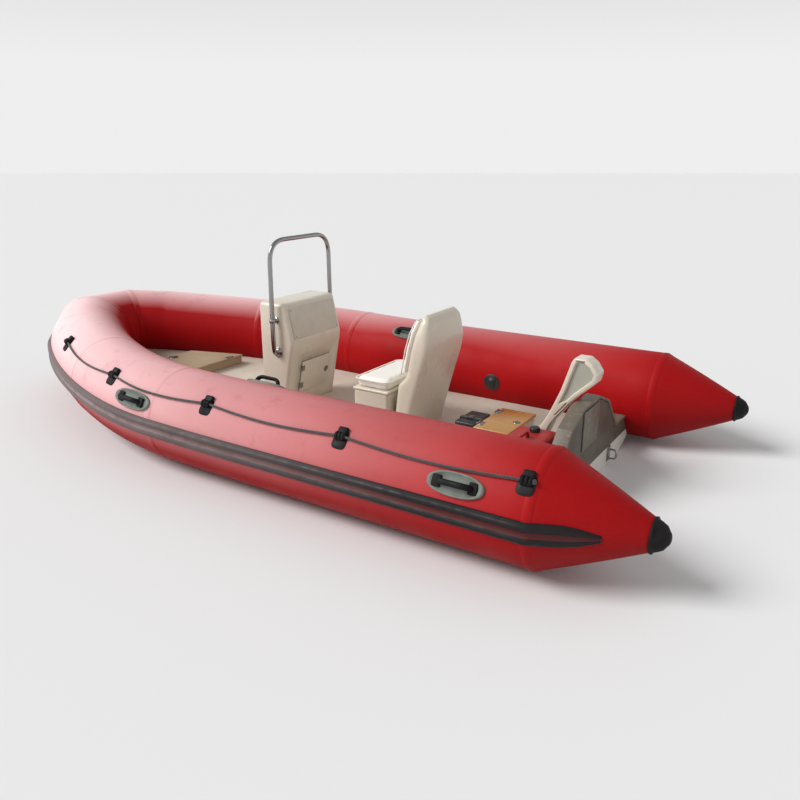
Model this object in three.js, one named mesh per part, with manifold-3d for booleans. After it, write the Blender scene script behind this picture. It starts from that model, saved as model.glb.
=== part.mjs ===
// Rigid inflatable boat with a centre console, about 4.5 m long.
// Millimetres, +X to the bow, +Y to port, +Z up.
// The origin is on the waterline, on the centreline, below the tips of the stern cones.
import * as THREE from 'three';
import { mergeVertices } from 'three/addons/utils/BufferGeometryUtils.js';
import Module from 'manifold-3d';

const wasm = await Module();
wasm.setup();

// ---- driving dimensions ----
const tubeRadius = 250;
const tubeSpacing = 848;          // centreline of the boat to the centre of a side tube
const tubeHeight = 270;           // centre of the side tubes above the waterline
const tubeSides = 32;
const coneLength = 465;           // stern cone, from its tip to the parallel tube
const coneTipRadius = 34;
const coneCapLength = 62;
const bendStart = 2520;           // where the side tubes start to turn inwards
const bowX = 4270;                // centre of the nose tube
const bowReach = 700;             // how far the side tube keeps its heading into the bend
const bowBreadth = 300;           // how far the nose keeps its heading into the bend
const bowRise = 124;              // the nose tube stands higher than the side tubes
const riseStart = 1920;
const gap = 0.3;                  // between pieces that touch

const soleTop = 140;
const soleThickness = 14;
const transomAft = 600;
const transomThickness = 60;
const transomTop = 375;           // where its slanted sides start
const transomTopHalf = 270;
const enginePadTop = 440;         // raised middle of the transom, for the engine's clamp
const enginePadHalf = 110;
const transomShoulderTop = 188;   // where the transom meets the tubes
const transomShoulderHalf = 440;
const keelDepth = 205;            // keel below the waterline aft
const chineInset = 158;           // chine inboard of the middle of the tube
const chineHalf = tubeSpacing - chineInset;
const chineHeight = 46;
const stemStart = 2350;           // where the keel starts to rise to the stem

const strakeHalfAngle = 360 / tubeSides;
const strakeThickness = 24;

const ropeRadius = 6;
const ropeAngle = 45;             // how far up the tube the lifeline runs
const ropeStandoff = 12;          // from the tube to the middle of the rope
const ropeSag = 5;                // degrees that the rope droops between two holders
const firstHolder = 30;           // from the stern cone to the middle of the first holder
const holderX = [coneLength + firstHolder, 1350, 2155];
const holderBend = [0.17, 0.52];   // places of the two holders on the bend, 0 at its start
const holderLength = 50;
const holderWidth = 64;
const holderThickness = 26;
const ropeClearance = 1.5;

const gripLength = 250;
const gripHeight = 96;
const gripThickness = 16;
const gripAngle = 27;
const gripX = [771, 2646];
const innerHandleX = 2080;
const innerHandleAngle = 128;

const consoleHalf = 235;
const consoleWall = 9;
const consoleFrontX = 2530;
const consoleTopAftX = 2340;
const consoleKneeX = 2285;
const consoleFootAftX = 2365;
const consoleTop = 785;
const consoleKnee = 550;
const doorWidth = 260;
const doorHeight = 190;
const doorThickness = 8;
const doorLift = 115;             // from the foot of the slanted face up to the door
const doorOverlap = 16;

const hoopHalf = 272;
const hoopTop = 1150;
const hoopX = 2395;
const hoopFoot = 500;
const hoopTube = 13;
const hoopBend = 125;
const hoopBracket = 690;

const seatHalf = 228;
const seatFrontX = 1865;
const seatAftX = 1640;
const seatWall = 8;
const seatLidTop = 380;
const seatLidThickness = 16;
const seatCushionTop = 443;
const hingeClearance = 6;

const backHalf = 205;
const backTop = 805;
const backTopHalf = 160;
const padFoot = 450;
const padThickness = 40;

const bowLockerX = [3240, 3620];
const bowLockerHalf = [320, 200];
const bowLockerHeight = 26;
const lockerWall = 12;
const bowLidThickness = 14;

const sternLockerX = [960, 1150];
const sternLockerHalf = 170;
const sternLockerHeight = 110;
const sternLidThickness = 18;
const lidOverhang = 8;

const batteryX = [1182, 1300];
const batteryHalf = 100;
const batteryHeight = 112;

const tankX = [715, 935];
const tankY = [75, 400];
const tankTop = 300;
const fillerY = 150;

const eyeY = 350;
const eyeZ = 60;
const eyeBar = 5;
const eyeReach = 46;
const eyeHalf = 26;

// ---- materials ----
function paint(color, roughness, metalness = 0) {
  return new THREE.MeshStandardMaterial({ color, roughness, metalness });
}

const looks = {
  tube: () => paint(0xbe191e, 0.45),
  rubber: () => paint(0x1d1b1c, 0.75),
  greyRubber: () => paint(0x6f746c, 0.7),
  gelcoat: () => paint(0xe9e2d3, 0.3),
  sole: () => paint(0xd9d2c0, 0.7),
  transom: () => paint(0x4a443f, 0.6),
  stainless: () => paint(0xc9ccce, 0.25, 1),
  vinyl: () => paint(0xf0ebe0, 0.55),
  wood: () => paint(0xa06a2a, 0.35),
  tank: () => paint(0xa5161a, 0.5),
  dash: () => paint(0x8d8a80, 0.6),
  rope: () => paint(0x17161a, 0.9),
};

const boat = new THREE.Group();

function addPiece(name, geometry, look) {
  const mesh = new THREE.Mesh(geometry, looks[look]());
  mesh.name = name;
  boat.add(mesh);
  return mesh;
}

// ---- solids ----
function vector(x, y, z) {
  return new THREE.Vector3(x, y, z);
}

// The volume's sign tells which way the faces point.
function signedVolume(positions, indices) {
  let total = 0;
  const [a, b, c] = [vector(), vector(), vector()];
  for (let i = 0; i < indices.length; i += 3) {
    a.fromArray(positions, indices[i] * 3);
    b.fromArray(positions, indices[i + 1] * 3);
    c.fromArray(positions, indices[i + 2] * 3);
    total += a.dot(b.cross(c));
  }
  return total / 6;
}

// A closed skin over rings of equal length, with flat ends.
function loft(rings) {
  const count = rings[0].length;
  const positions = [];
  const indices = [];
  for (const ring of rings) {
    for (const point of ring) {
      positions.push(point.x, point.y, point.z);
    }
  }
  for (let row = 0; row + 1 < rings.length; row += 1) {
    for (let i = 0; i < count; i += 1) {
      const next = (i + 1) % count;
      const [a, b] = [row * count + i, row * count + next];
      const [c, d] = [a + count, b + count];
      indices.push(a, b, d, a, d, c);
    }
  }
  const last = (rings.length - 1) * count;
  for (const [start, flip] of [[0, true], [last, false]]) {
    for (const [a, b, c] of endFaces(rings[start / count])) {
      indices.push(start + a, start + (flip ? c : b), start + (flip ? b : c));
    }
  }
  if (signedVolume(positions, indices) < 0) {
    for (let i = 0; i < indices.length; i += 3) {
      [indices[i + 1], indices[i + 2]] = [indices[i + 2], indices[i + 1]];
    }
  }
  const geometry = new THREE.BufferGeometry();
  geometry.setAttribute('position', new THREE.Float32BufferAttribute(positions, 3));
  geometry.setIndex(indices);
  return geometry;
}

// Triangles of one flat ring, turned the way the ring runs.
function endFaces(ring) {
  const normal = vector(0, 0, 0);
  ring.forEach((point, i) => {
    const next = ring[(i + 1) % ring.length];
    normal.add(point.clone().cross(next));
  });
  normal.normalize();
  const side = ring[1].clone().sub(ring[0]).projectOnPlane(normal).normalize();
  const up = normal.clone().cross(side);
  const flat = ring.map((point) => new THREE.Vector2(point.dot(side), point.dot(up)));
  return THREE.ShapeUtils.triangulateShape(flat, []);
}

function shapeOf(points) {
  return new THREE.Shape(points.map(([x, y]) => new THREE.Vector2(x, y)));
}

// An outline seen from behind (y, z), running forward from one x to another.
function along(points, from, to) {
  const geometry = new THREE.ExtrudeGeometry(shapeOf(points), { depth: to - from, bevelEnabled: false });
  const turn = new THREE.Matrix4().makeBasis(vector(0, 1, 0), vector(0, 0, 1), vector(1, 0, 0));
  return geometry.applyMatrix4(turn).translate(from, 0, 0);
}

// An outline in plan, standing from one height to another.
function upright(points, bottom, top) {
  const geometry = new THREE.ExtrudeGeometry(shapeOf(points), { depth: top - bottom, bevelEnabled: false });
  return geometry.translate(0, 0, bottom);
}

// An outline seen from the side (x, z), running across the boat from one y to another.
function across(points, from, to) {
  const geometry = new THREE.ExtrudeGeometry(shapeOf(points), { depth: to - from, bevelEnabled: false });
  return geometry.rotateX(Math.PI / 2).translate(0, to, 0);
}

function box(x, y, z) {
  const geometry = new THREE.BoxGeometry(x[1] - x[0], y[1] - y[0], z[1] - z[0]);
  return geometry.translate((x[0] + x[1]) / 2, (y[0] + y[1]) / 2, (z[0] + z[1]) / 2);
}

function toSolid(geometry) {
  const bare = geometry.clone();
  bare.deleteAttribute('normal');
  bare.deleteAttribute('uv');
  const merged = mergeVertices(bare, 1e-3);
  return new wasm.Manifold(new wasm.Mesh({
    numProp: 3,
    vertProperties: new Float32Array(merged.attributes.position.array),
    triVerts: new Uint32Array(merged.index.array),
  }));
}

function fromSolid(solid) {
  const { vertProperties, triVerts } = solid.getMesh();
  const geometry = new THREE.BufferGeometry();
  geometry.setAttribute('position', new THREE.Float32BufferAttribute(vertProperties, 3));
  geometry.setIndex([...triVerts]);
  return geometry;
}

function cut(geometry, ...tools) {
  return fromSolid(tools.reduce((rest, tool) => rest.subtract(toSolid(tool)), toSolid(geometry)));
}

function join(...pieces) {
  return fromSolid(pieces.map(toSolid).reduce((all, piece) => all.add(piece)));
}

// A round bar along a line of points, with rounded corners.
function bar(points, radius, bend, sides = 16) {
  const path = new THREE.CurvePath();
  let from = points[0];
  for (let i = 1; i + 1 < points.length; i += 1) {
    const into = points[i].clone().sub(points[i - 1]);
    const out = points[i + 1].clone().sub(points[i]);
    into.setLength(Math.min(bend, into.length() * 0.48));
    out.setLength(Math.min(bend, out.length() * 0.48));
    const start = points[i].clone().sub(into);
    const end = points[i].clone().add(out);
    path.add(new THREE.LineCurve3(from, start));
    path.add(new THREE.QuadraticBezierCurve3(start, points[i], end));
    from = end;
  }
  path.add(new THREE.LineCurve3(from, points.at(-1)));
  const rings = [];
  const centres = path.curves.flatMap((curve) => curve.getPoints(curve.isLineCurve3 ? 1 : 5).slice(1));
  centres.unshift(points[0]);
  const normal = frameNormal(points);
  centres.forEach((centre, i) => {
    const before = centres[Math.max(i - 1, 0)];
    const after = centres[Math.min(i + 1, centres.length - 1)];
    const along = after.clone().sub(before).normalize();
    const side = normal.clone();
    const up = side.clone().cross(along).normalize();
    rings.push(circle(centre, side, up, radius, sides));
  });
  return loft(rings);
}

// The bars used here each lie in one plane: this is its normal.
function frameNormal(points) {
  const first = points[1].clone().sub(points[0]);
  for (let i = 2; i < points.length; i += 1) {
    const normal = first.clone().cross(points[i].clone().sub(points[i - 1]));
    if (normal.length() > 1) {
      return normal.normalize();
    }
  }
  return vector(-first.y, first.x, 0).normalize();
}

function circle(centre, side, up, radius, sides) {
  const ring = [];
  for (let i = 0; i < sides; i += 1) {
    const angle = (2 * Math.PI * i) / sides;
    const offset = side.clone().multiplyScalar(radius * Math.cos(angle));
    ring.push(offset.addScaledVector(up, radius * Math.sin(angle)).add(centre));
  }
  return ring;
}

// ---- the line that the tubes follow ----
function riseAt(x) {
  return bowRise * (Math.max(x - riseStart, 0) / (bowX - riseStart)) ** 2;
}

const bend = new THREE.CubicBezierCurve3(
  vector(bendStart, tubeSpacing, 0),
  vector(bendStart + bowReach, tubeSpacing, 0),
  vector(bowX, bowBreadth, 0),
  vector(bowX, 0, 0),
);

function onTube(point) {
  return vector(point.x, point.y, tubeHeight + riseAt(point.x));
}

// Stations of the port side, from the stern cone to the mitre at the nose tube.
const bendSteps = 11;
const bendSmooth = 0.68;          // share of the bend that turns in small steps
const noseMitre = 0.84;           // share of the bend where the straight nose tube takes over
const bendShares = Array.from({ length: bendSteps + 1 }, (_, i) => (bendSmooth * i) / bendSteps);
const bendPoints = [...bendShares, noseMitre].map((share) => bend.getPoint(share));
const straightStations = [coneLength, (coneLength + riseStart) / 2, riseStart, (riseStart + bendStart) / 2];
const portStations = [
  ...straightStations.map((x) => onTube(vector(x, tubeSpacing, 0))),
  ...bendPoints.map(onTube),
];
const starboardStations = portStations.toReversed().map((p) => vector(p.x, -p.y, p.z));
const collarLine = [...portStations, ...starboardStations];
const bendIndex = straightStations.length;
const noseIndex = portStations.length - 1;

// Outward direction at a station, stretched at a mitre so that offsets stay parallel.
function outwardAt(line, i) {
  const before = line[Math.max(i - 1, 0)];
  const here = line[i];
  const after = line[Math.min(i + 1, line.length - 1)];
  const into = i > 0 ? here.clone().sub(before) : after.clone().sub(here);
  const out = i + 1 < line.length ? after.clone().sub(here) : into.clone();
  const first = vector(-into.y, into.x, 0).normalize();
  const second = vector(-out.y, out.x, 0).normalize();
  const sum = first.clone().add(second);
  return sum.multiplyScalar(1 / (1 + first.dot(second)));
}

// The stations run from port to starboard round the bow, so outward is to the left.
function onCollar(i, angle, radius) {
  const radians = THREE.MathUtils.degToRad(angle);
  const outward = outwardAt(collarLine, i);
  const point = collarLine[i].clone().addScaledVector(outward, radius * Math.cos(radians));
  return point.add(vector(0, 0, radius * Math.sin(radians)));
}

function collarRing(i, shift) {
  const ring = [];
  const along = collarLine[i + (shift > 0 ? 1 : -1)].clone().sub(collarLine[i]).normalize();
  for (let side = 0; side < tubeSides; side += 1) {
    const point = onCollar(i, (360 * side) / tubeSides, tubeRadius);
    ring.push(shift === 0 ? point : point.addScaledVector(along, Math.abs(shift)));
  }
  return ring;
}

function collarPiece(name, first, last) {
  const rings = [];
  for (let i = first; i <= last; i += 1) {
    const shift = i === first ? gap / 2 : i === last ? -gap / 2 : 0;
    rings.push(collarRing(i, shift));
  }
  addPiece(name, loft(rings), 'tube');
}

const lastStation = collarLine.length - 1;
collarPiece('port_side_tube', 0, bendIndex);
collarPiece('port_bow_tube', bendIndex, noseIndex);
collarPiece('bow_nose_tube', noseIndex, lastStation - noseIndex);
collarPiece('starboard_bow_tube', lastStation - noseIndex, lastStation - bendIndex);
collarPiece('starboard_side_tube', lastStation - bendIndex, lastStation);

// ---- stern cones ----
function coneRadiusAt(x) {
  return THREE.MathUtils.mapLinear(x, 0, coneLength, coneTipRadius, tubeRadius);
}

function coneRing(y, x, radius) {
  return circle(vector(x, y, tubeHeight), vector(0, 1, 0), vector(0, 0, 1), radius, tubeSides);
}

for (const [side, sign] of [['port', 1], ['starboard', -1]]) {
  const y = sign * tubeSpacing;
  const rings = [coneCapLength + gap, coneLength - gap / 2].map((x) => coneRing(y, x, coneRadiusAt(x)));
  addPiece(`${side}_stern_cone`, loft(rings), 'tube');
  const capRings = [0, coneCapLength / 4, coneCapLength];
  const capRadii = [coneTipRadius * 0.6, coneRadiusAt(0), coneRadiusAt(coneCapLength)];
  addPiece(`${side}_cone_cap`, loft(capRings.map((x, i) => coneRing(y, x, capRadii[i]))), 'rubber');
}

// ---- rubbing strake ----
const strakeTail = 250;           // where the strake ends on the cone
function strakeRing(at) {
  const inner = [-strakeHalfAngle, 0, strakeHalfAngle].map((angle) => at(angle, gap));
  const outer = [0.8, 0.45, 0, -0.45, -0.8].map((share) => {
    const proud = Math.abs(share) > 0.7 ? strakeThickness * 0.7 : strakeThickness;
    return at(share * strakeHalfAngle, share === 0 ? proud * 0.75 : proud);
  });
  return [...inner, ...outer];
}

function tailRing(x, sign) {
  return strakeRing((angle, proud) => {
    const radians = THREE.MathUtils.degToRad(angle);
    const radius = coneRadiusAt(x) + proud + 1;
    const [y, z] = [radius * Math.cos(radians), tubeRadius * Math.sin(radians)];
    return vector(x, sign * (tubeSpacing + y), tubeHeight + z);
  });
}

{
  const rings = [tailRing(strakeTail, 1)];
  for (let i = 0; i <= lastStation; i += 1) {
    rings.push(strakeRing((angle, proud) => onCollar(i, angle, tubeRadius + proud)));
  }
  rings.push(tailRing(strakeTail, -1));
  addPiece('rub_strake', loft(rings), 'rubber');
}

// ---- lifelines, their holders and the outer grips ----
function sideLine(fraction, sign) {
  // fraction below 0 is millimetres on the straight, from 0 to 1 it is on the bend
  const flat = fraction < 0 ? vector(-fraction, tubeSpacing, 0) : bend.getPointAt(fraction);
  const ahead = fraction < 0 ? vector(1, 0, 0) : bend.getTangentAt(fraction);
  const centre = onTube(flat);
  const slope = (riseAt(flat.x + 1) - riseAt(flat.x - 1)) / 2;
  const along = vector(ahead.x, ahead.y * sign, slope * ahead.x).normalize();
  centre.y *= sign;
  const outward = vector(-ahead.y, ahead.x * sign, 0).normalize();
  return { centre, along, outward };
}

// A frame on the skin of a tube: along the tube, up the skin, and out of it.
function skinFrame(fraction, sign, angle, height) {
  const { centre, along, outward } = sideLine(fraction, sign);
  const radians = THREE.MathUtils.degToRad(angle);
  const out = outward.clone().multiplyScalar(Math.cos(radians)).add(vector(0, 0, Math.sin(radians)));
  const up = out.clone().cross(along).normalize();
  const matrix = new THREE.Matrix4().makeBasis(along, up, out.clone().normalize());
  return matrix.setPosition(centre.clone().addScaledVector(out, tubeRadius + height));
}

const holderPlaces = [...holderX.map((x) => -x), ...holderBend];
const ropeSteps = 6;

function ropePlaces() {
  const places = [];
  for (let i = 0; i + 1 < holderPlaces.length; i += 1) {
    for (let step = 0; step < ropeSteps; step += 1) {
      const share = step / ropeSteps;
      const droop = ropeSag * Math.sin(Math.PI * share);
      const [from, to] = [holderPlaces[i], holderPlaces[i + 1]];
      places.push([between(from, to, share), ropeAngle - droop]);
    }
  }
  places.push([holderPlaces.at(-1), ropeAngle]);
  return places;
}

// A place between two holders, also where one is on the straight and one on the bend.
function between(from, to, share) {
  const straight = -from;
  if (to <= 0 || from > 0) {
    return from + (to - from) * share;
  }
  const bendShare = to * bend.getLength();
  const distance = (bendStart - straight + bendShare) * share;
  const beyond = distance - (bendStart - straight);
  return beyond < 0 ? -(straight + distance) : beyond / bend.getLength();
}

function ropeRings(sign, radius) {
  return ropePlaces().map(([place, angle]) => {
    const frame = skinFrame(place, sign, angle, ropeStandoff);
    const centre = vector().setFromMatrixPosition(frame);
    const up = vector().setFromMatrixColumn(frame, 1);
    const out = vector().setFromMatrixColumn(frame, 2);
    return circle(centre, up, out, radius, 8);
  });
}

function extendEnds(rings, distance) {
  const move = (ring, other) => {
    const along = ring[0].clone().sub(other[0]).setLength(distance);
    return ring.map((point) => point.clone().add(along));
  };
  return [move(rings[0], rings[1]), ...rings.slice(1, -1), move(rings.at(-1), rings.at(-2))];
}

for (const [side, sign] of [['port', 1], ['starboard', -1]]) {
  const ropeEnd = holderLength / 2 + 8;
  addPiece(`${side}_lifeline`, loft(extendEnds(ropeRings(sign, ropeRadius), ropeEnd)), 'rope');
  const bore = loft(extendEnds(ropeRings(sign, ropeRadius + ropeClearance), ropeEnd * 2));
  const tubeSkin = collarSkin(sign);
  holderPlaces.forEach((place, i) => {
    const depth = holderThickness + 14;
    const block = new THREE.BoxGeometry(holderLength, holderWidth, depth);
    block.translate(0, -holderWidth / 5, holderThickness - depth / 2);
    block.applyMatrix4(skinFrame(place, sign, ropeAngle, 0));
    addPiece(`${side}_rope_holder_${i + 1}`, cut(block, tubeSkin, bore), 'rubber');
  });
  gripX.forEach((x, i) => {
    const place = x < bendStart ? -x : (x - bendStart) / bend.getLength();
    addPiece(`${side}_grip_${i + 1}`, gripGeometry(place, sign, gripAngle, tubeSkin), 'greyRubber');
  });
  const inner = gripGeometry(-innerHandleX, sign, innerHandleAngle, tubeSkin);
  addPiece(`${side}_inner_handle`, inner, 'greyRubber');
}

// The skin of one side, swollen by the gap, as a tool to fit pieces to it.
function collarSkin(sign) {
  const rings = [];
  const end = lastStation - noseIndex;
  const [first, last] = sign > 0 ? [0, end] : [noseIndex, lastStation];
  for (let i = first; i <= last; i += 1) {
    const ring = [];
    for (let side = 0; side < tubeSides; side += 1) {
      ring.push(onCollar(i, (360 * side) / tubeSides, tubeRadius + gap));
    }
    rings.push(ring);
  }
  return loft(rings);
}

// A long oval patch with a raised grip bar over a finger space.
function gripGeometry(place, sign, angle, tubeSkin) {
  const outline = new THREE.Shape();
  outline.absellipse(0, 0, gripLength / 2, gripHeight / 2, 0, 2 * Math.PI);
  const depth = gripThickness + 30;
  const patch = new THREE.ExtrudeGeometry(outline, { depth, bevelEnabled: false, curveSegments: 24 });
  patch.translate(0, 0, gripThickness - depth);
  const handle = new THREE.BoxGeometry(gripLength * 0.56, 26, 40);
  handle.translate(0, 0, gripThickness + 18);
  const fingers = new THREE.BoxGeometry(gripLength * 0.42, 60, 24);
  fingers.translate(0, 0, gripThickness + 14);
  const whole = cut(join(patch, handle), fingers);
  whole.applyMatrix4(skinFrame(place, sign, angle, 0));
  return cut(whole, tubeSkin);
}

// ---- hull, sole and transom ----
const transomFront = transomAft + transomThickness;
const collarTools = [collarSkin(1), collarSkin(-1)];

function deckHeight(x) {
  return soleTop + riseAt(x);
}

// Places along the hull: x, and how far out the middle of the tube is there.
const hullPlaces = [
  ...[transomFront + gap, 1200, riseStart, (riseStart + bendStart) / 2].map((x) => [x, tubeSpacing]),
  ...bendPoints.map((point) => [point.x, point.y]),
];

// The hull and sole reach this far out, to a line inside the tube.
function halfInsideTube(y) {
  return Math.max(y - tubeRadius * 0.48, y * 0.5);
}

function deckRing([x, y], below, above) {
  const half = halfInsideTube(y);
  const [low, high] = [deckHeight(x) + below, deckHeight(x) + above];
  return [vector(x, half, low), vector(x, half, high), vector(x, -half, high), vector(x, -half, low)];
}

function hullRing([x, y]) {
  const stem = Math.max(x - stemStart, 0) / (bowX - stemStart);
  const top = deckHeight(x) - soleThickness - gap;
  const keel = THREE.MathUtils.lerp(-keelDepth, top - 40, stem ** 2.3);
  const chine = THREE.MathUtils.lerp(chineHeight, top - 14, stem ** 1.4);
  const half = halfInsideTube(y);
  const chineOut = half * (chineHalf / halfInsideTube(tubeSpacing));
  const belly = (keel + chine) / 2 - 8 * (1 - stem);
  const port = [[chineOut * 0.5, belly], [chineOut, chine], [half, chine + 12], [half, top]];
  const starboard = port.toReversed().map(([out, z]) => [-out, z]);
  return [[0, keel], ...port, ...starboard].map(([out, z]) => vector(x, out, z));
}

const hull = cut(loft(hullPlaces.map(hullRing)), ...collarTools);
addPiece('hull', hull, 'gelcoat');

const solePlaces = hullPlaces.slice(0, -1);
const soleBlank = loft(solePlaces.map((place) => deckRing(place, -soleThickness, 0)));
addPiece('sole', cut(soleBlank, ...collarTools), 'sole');
const underSole = loft(solePlaces.map((place) => deckRing(place, -200, gap)));

const transomReach = tubeSpacing - 113;     // hidden inside the tubes
const topHalf = [
  [transomReach, transomShoulderTop],
  [transomShoulderHalf, transomShoulderTop],
  [transomTopHalf, transomTop],
  [enginePadHalf, enginePadTop],
];
const topLine = [...topHalf, ...topHalf.toReversed().map(([y, z]) => [-y, z])];
const transomOutline = [
  [0, -keelDepth],
  [chineHalf, chineHeight],
  [transomReach, chineHeight + 80],
  ...topLine,
  [-transomReach, chineHeight + 80],
  [-chineHalf, chineHeight],
];
addPiece('transom', cut(along(transomOutline, transomAft, transomFront), ...collarTools), 'transom');

const capThickness = 14;
const capOverhang = 8;
const capOutline = [
  ...topLine.map(([y, z]) => [y, z + gap]),
  ...topLine.toReversed().map(([y, z]) => [y * 1.02, z + capThickness]),
];
const capBlank = along(capOutline, transomAft - capOverhang, transomFront + capOverhang);
addPiece('transom_cap', cut(capBlank, ...collarTools), 'gelcoat');

// ---- stern post, leaning aft over the transom, flared at its top ----
// each level: height, x aft, x forward, half width
const postLevels = [
  [soleTop + gap, 830, 930, 60],
  [250, 812, 870, 50],
  [310, 788, 832, 45],
  [355, 758, 806, 44],
  [430, 700, 774, 44],
  [474, 662, 756, 46],
  [505, 629, 744, 50],
  [555, 576, 729, 56],
  [601, 566, 715, 60],
  [645, 596, 702, 56],
  [668, 630, 688, 44],
];
const postCorner = 14;

// A rectangle with cut corners, seen from above.
function levelRing(z, aft, front, half, wish) {
  const corner = Math.min(wish, (front - aft) * 0.4);
  const plan = [
    [aft + corner, half], [aft, half - corner], [aft, corner - half], [aft + corner, -half],
    [front - corner, -half], [front, corner - half], [front, half - corner], [front - corner, half],
  ];
  return plan.map(([x, y]) => vector(x, y, z));
}

const postRings = postLevels.map(([z, aft, front, half]) => levelRing(z, aft, front, half, postCorner));
addPiece('stern_post', loft(postRings), 'gelcoat');

// ---- console ----
function openProfile(foot) {
  return [
    [consoleFrontX, foot],
    [consoleFrontX, consoleTop],
    [consoleTopAftX, consoleTop],
    [consoleKneeX, consoleKnee],
    [consoleFootAftX, foot],
  ];
}

// The same outline, moved inwards all round by a wall.
function inset(points, wall) {
  const shape = points.map(([x, y]) => new THREE.Vector2(x, y));
  const turn = Math.sign(THREE.ShapeUtils.area(shape));
  return shape.map((here, i) => {
    const before = shape[(i + shape.length - 1) % shape.length];
    const after = shape[(i + 1) % shape.length];
    const into = here.clone().sub(before).normalize();
    const out = after.clone().sub(here).normalize();
    const first = new THREE.Vector2(-into.y, into.x).multiplyScalar(turn);
    const second = new THREE.Vector2(-out.y, out.x).multiplyScalar(turn);
    const move = first.clone().add(second).multiplyScalar(wall / (1 + first.dot(second)));
    return [here.x + move.x, here.y + move.y];
  });
}

// The slanted faces of the console: from a lower corner to an upper one.
function faceFrame(lower, upper) {
  const up = vector(upper[0] - lower[0], 0, upper[1] - lower[1]).normalize();
  const across = vector(0, -1, 0);
  const out = across.clone().cross(up);
  return new THREE.Matrix4().makeBasis(across, up, out).setPosition(lower[0], 0, lower[1]);
}

function onFace(frame, width, low, high, inner, outer) {
  const geometry = new THREE.BoxGeometry(width, high - low, outer - inner);
  geometry.translate(0, (low + high) / 2, (inner + outer) / 2);
  return geometry.applyMatrix4(frame);
}

const consoleFoot = soleTop - 10;
const lowerFace = faceFrame([consoleFootAftX, consoleFoot], [consoleKneeX, consoleKnee]);
const upperFace = faceFrame([consoleKneeX, consoleKnee], [consoleTopAftX, consoleTop]);
const doorTop = doorLift + doorHeight;
const insideHalf = consoleHalf - consoleWall;
const consoleInside = across(inset(openProfile(-200), consoleWall), -insideHalf, insideHalf);
const doorHole = onFace(
  lowerFace,
  doorWidth - 2 * doorOverlap,
  doorLift + doorOverlap,
  doorTop - doorOverlap,
  -3 * consoleWall,
  consoleWall,
);
const consoleBlank = across(openProfile(consoleFoot), -consoleHalf, consoleHalf);
addPiece('console_shell', cut(consoleBlank, consoleInside, doorHole, underSole), 'gelcoat');
const door = onFace(lowerFace, doorWidth, doorLift, doorTop, gap, gap + doorThickness);
addPiece('console_door', door, 'gelcoat');
const dashMargin = 30;
const dashThickness = 6;
const dashWidth = 2 * (consoleHalf - dashMargin);
const dashTop = Math.hypot(consoleTopAftX - consoleKneeX, consoleTop - consoleKnee) - dashMargin;
const dash = onFace(upperFace, dashWidth, dashMargin, dashTop, gap, gap + dashThickness);
addPiece('dash_panel', dash, 'dash');

// ---- hoop rail beside the console ----
const flangeThickness = 6;
const hoopStart = consoleHalf + flangeThickness + 2 * gap;
const hoopTopHalf = hoopHalf - 8;

function hoopBar(radius) {
  const half = [
    vector(hoopX, hoopStart, hoopFoot),
    vector(hoopX, hoopHalf, hoopFoot),
    vector(hoopX, hoopTopHalf, hoopTop - hoopTube),
  ];
  const other = half.toReversed().map((point) => vector(point.x, -point.y, point.z));
  return bar([...half, ...other], radius, hoopBend);
}

addPiece('hoop_rail', hoopBar(hoopTube), 'stainless');

function rod(radius, from, to, x, z, sides = 20) {
  const geometry = new THREE.CylinderGeometry(radius, radius, Math.abs(to - from), sides);
  return geometry.translate(x, (from + to) / 2, z);
}

for (const [side, sign] of [['port', 1], ['starboard', -1]]) {
  const inner = sign * (consoleHalf + gap);
  const flange = rod(32, inner, sign * (consoleHalf + gap + flangeThickness), hoopX, hoopFoot);
  addPiece(`${side}_hoop_foot`, flange, 'stainless');
  const stay = rod(9, inner, sign * hoopHalf, hoopX, hoopBracket);
  addPiece(`${side}_hoop_stay`, cut(stay, hoopBar(hoopTube + gap)), 'stainless');
}

// ---- seat ----
const seatRim = seatLidTop - seatLidThickness - gap;
const seatOuter = box([seatAftX, seatFrontX], [-seatHalf, seatHalf], [soleTop - 10, seatRim]);
const seatInner = box(
  [seatAftX + seatWall, seatFrontX - seatWall],
  [seatWall - seatHalf, seatHalf - seatWall],
  [0, seatRim + 10],
);
addPiece('seat_base', cut(seatOuter, seatInner, underSole), 'gelcoat');
const lidLip = 3;
const lidBox = box(
  [seatAftX - lidLip, seatFrontX + lidLip],
  [-seatHalf - lidLip, seatHalf + lidLip],
  [seatLidTop - seatLidThickness, seatLidTop],
);
addPiece('seat_lid', lidBox, 'gelcoat');
const cushion = [seatLidTop + gap, (seatLidTop + seatCushionTop) / 2, seatCushionTop - 8, seatCushionTop];
const cushionIn = [4, 0, 6, 16];
const cushionRings = cushion.map((z, i) => levelRing(
  z,
  seatAftX + cushionIn[i],
  seatFrontX - cushionIn[i],
  seatHalf - cushionIn[i],
  26,
));
addPiece('seat_cushion', loft(cushionRings), 'vinyl');

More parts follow.
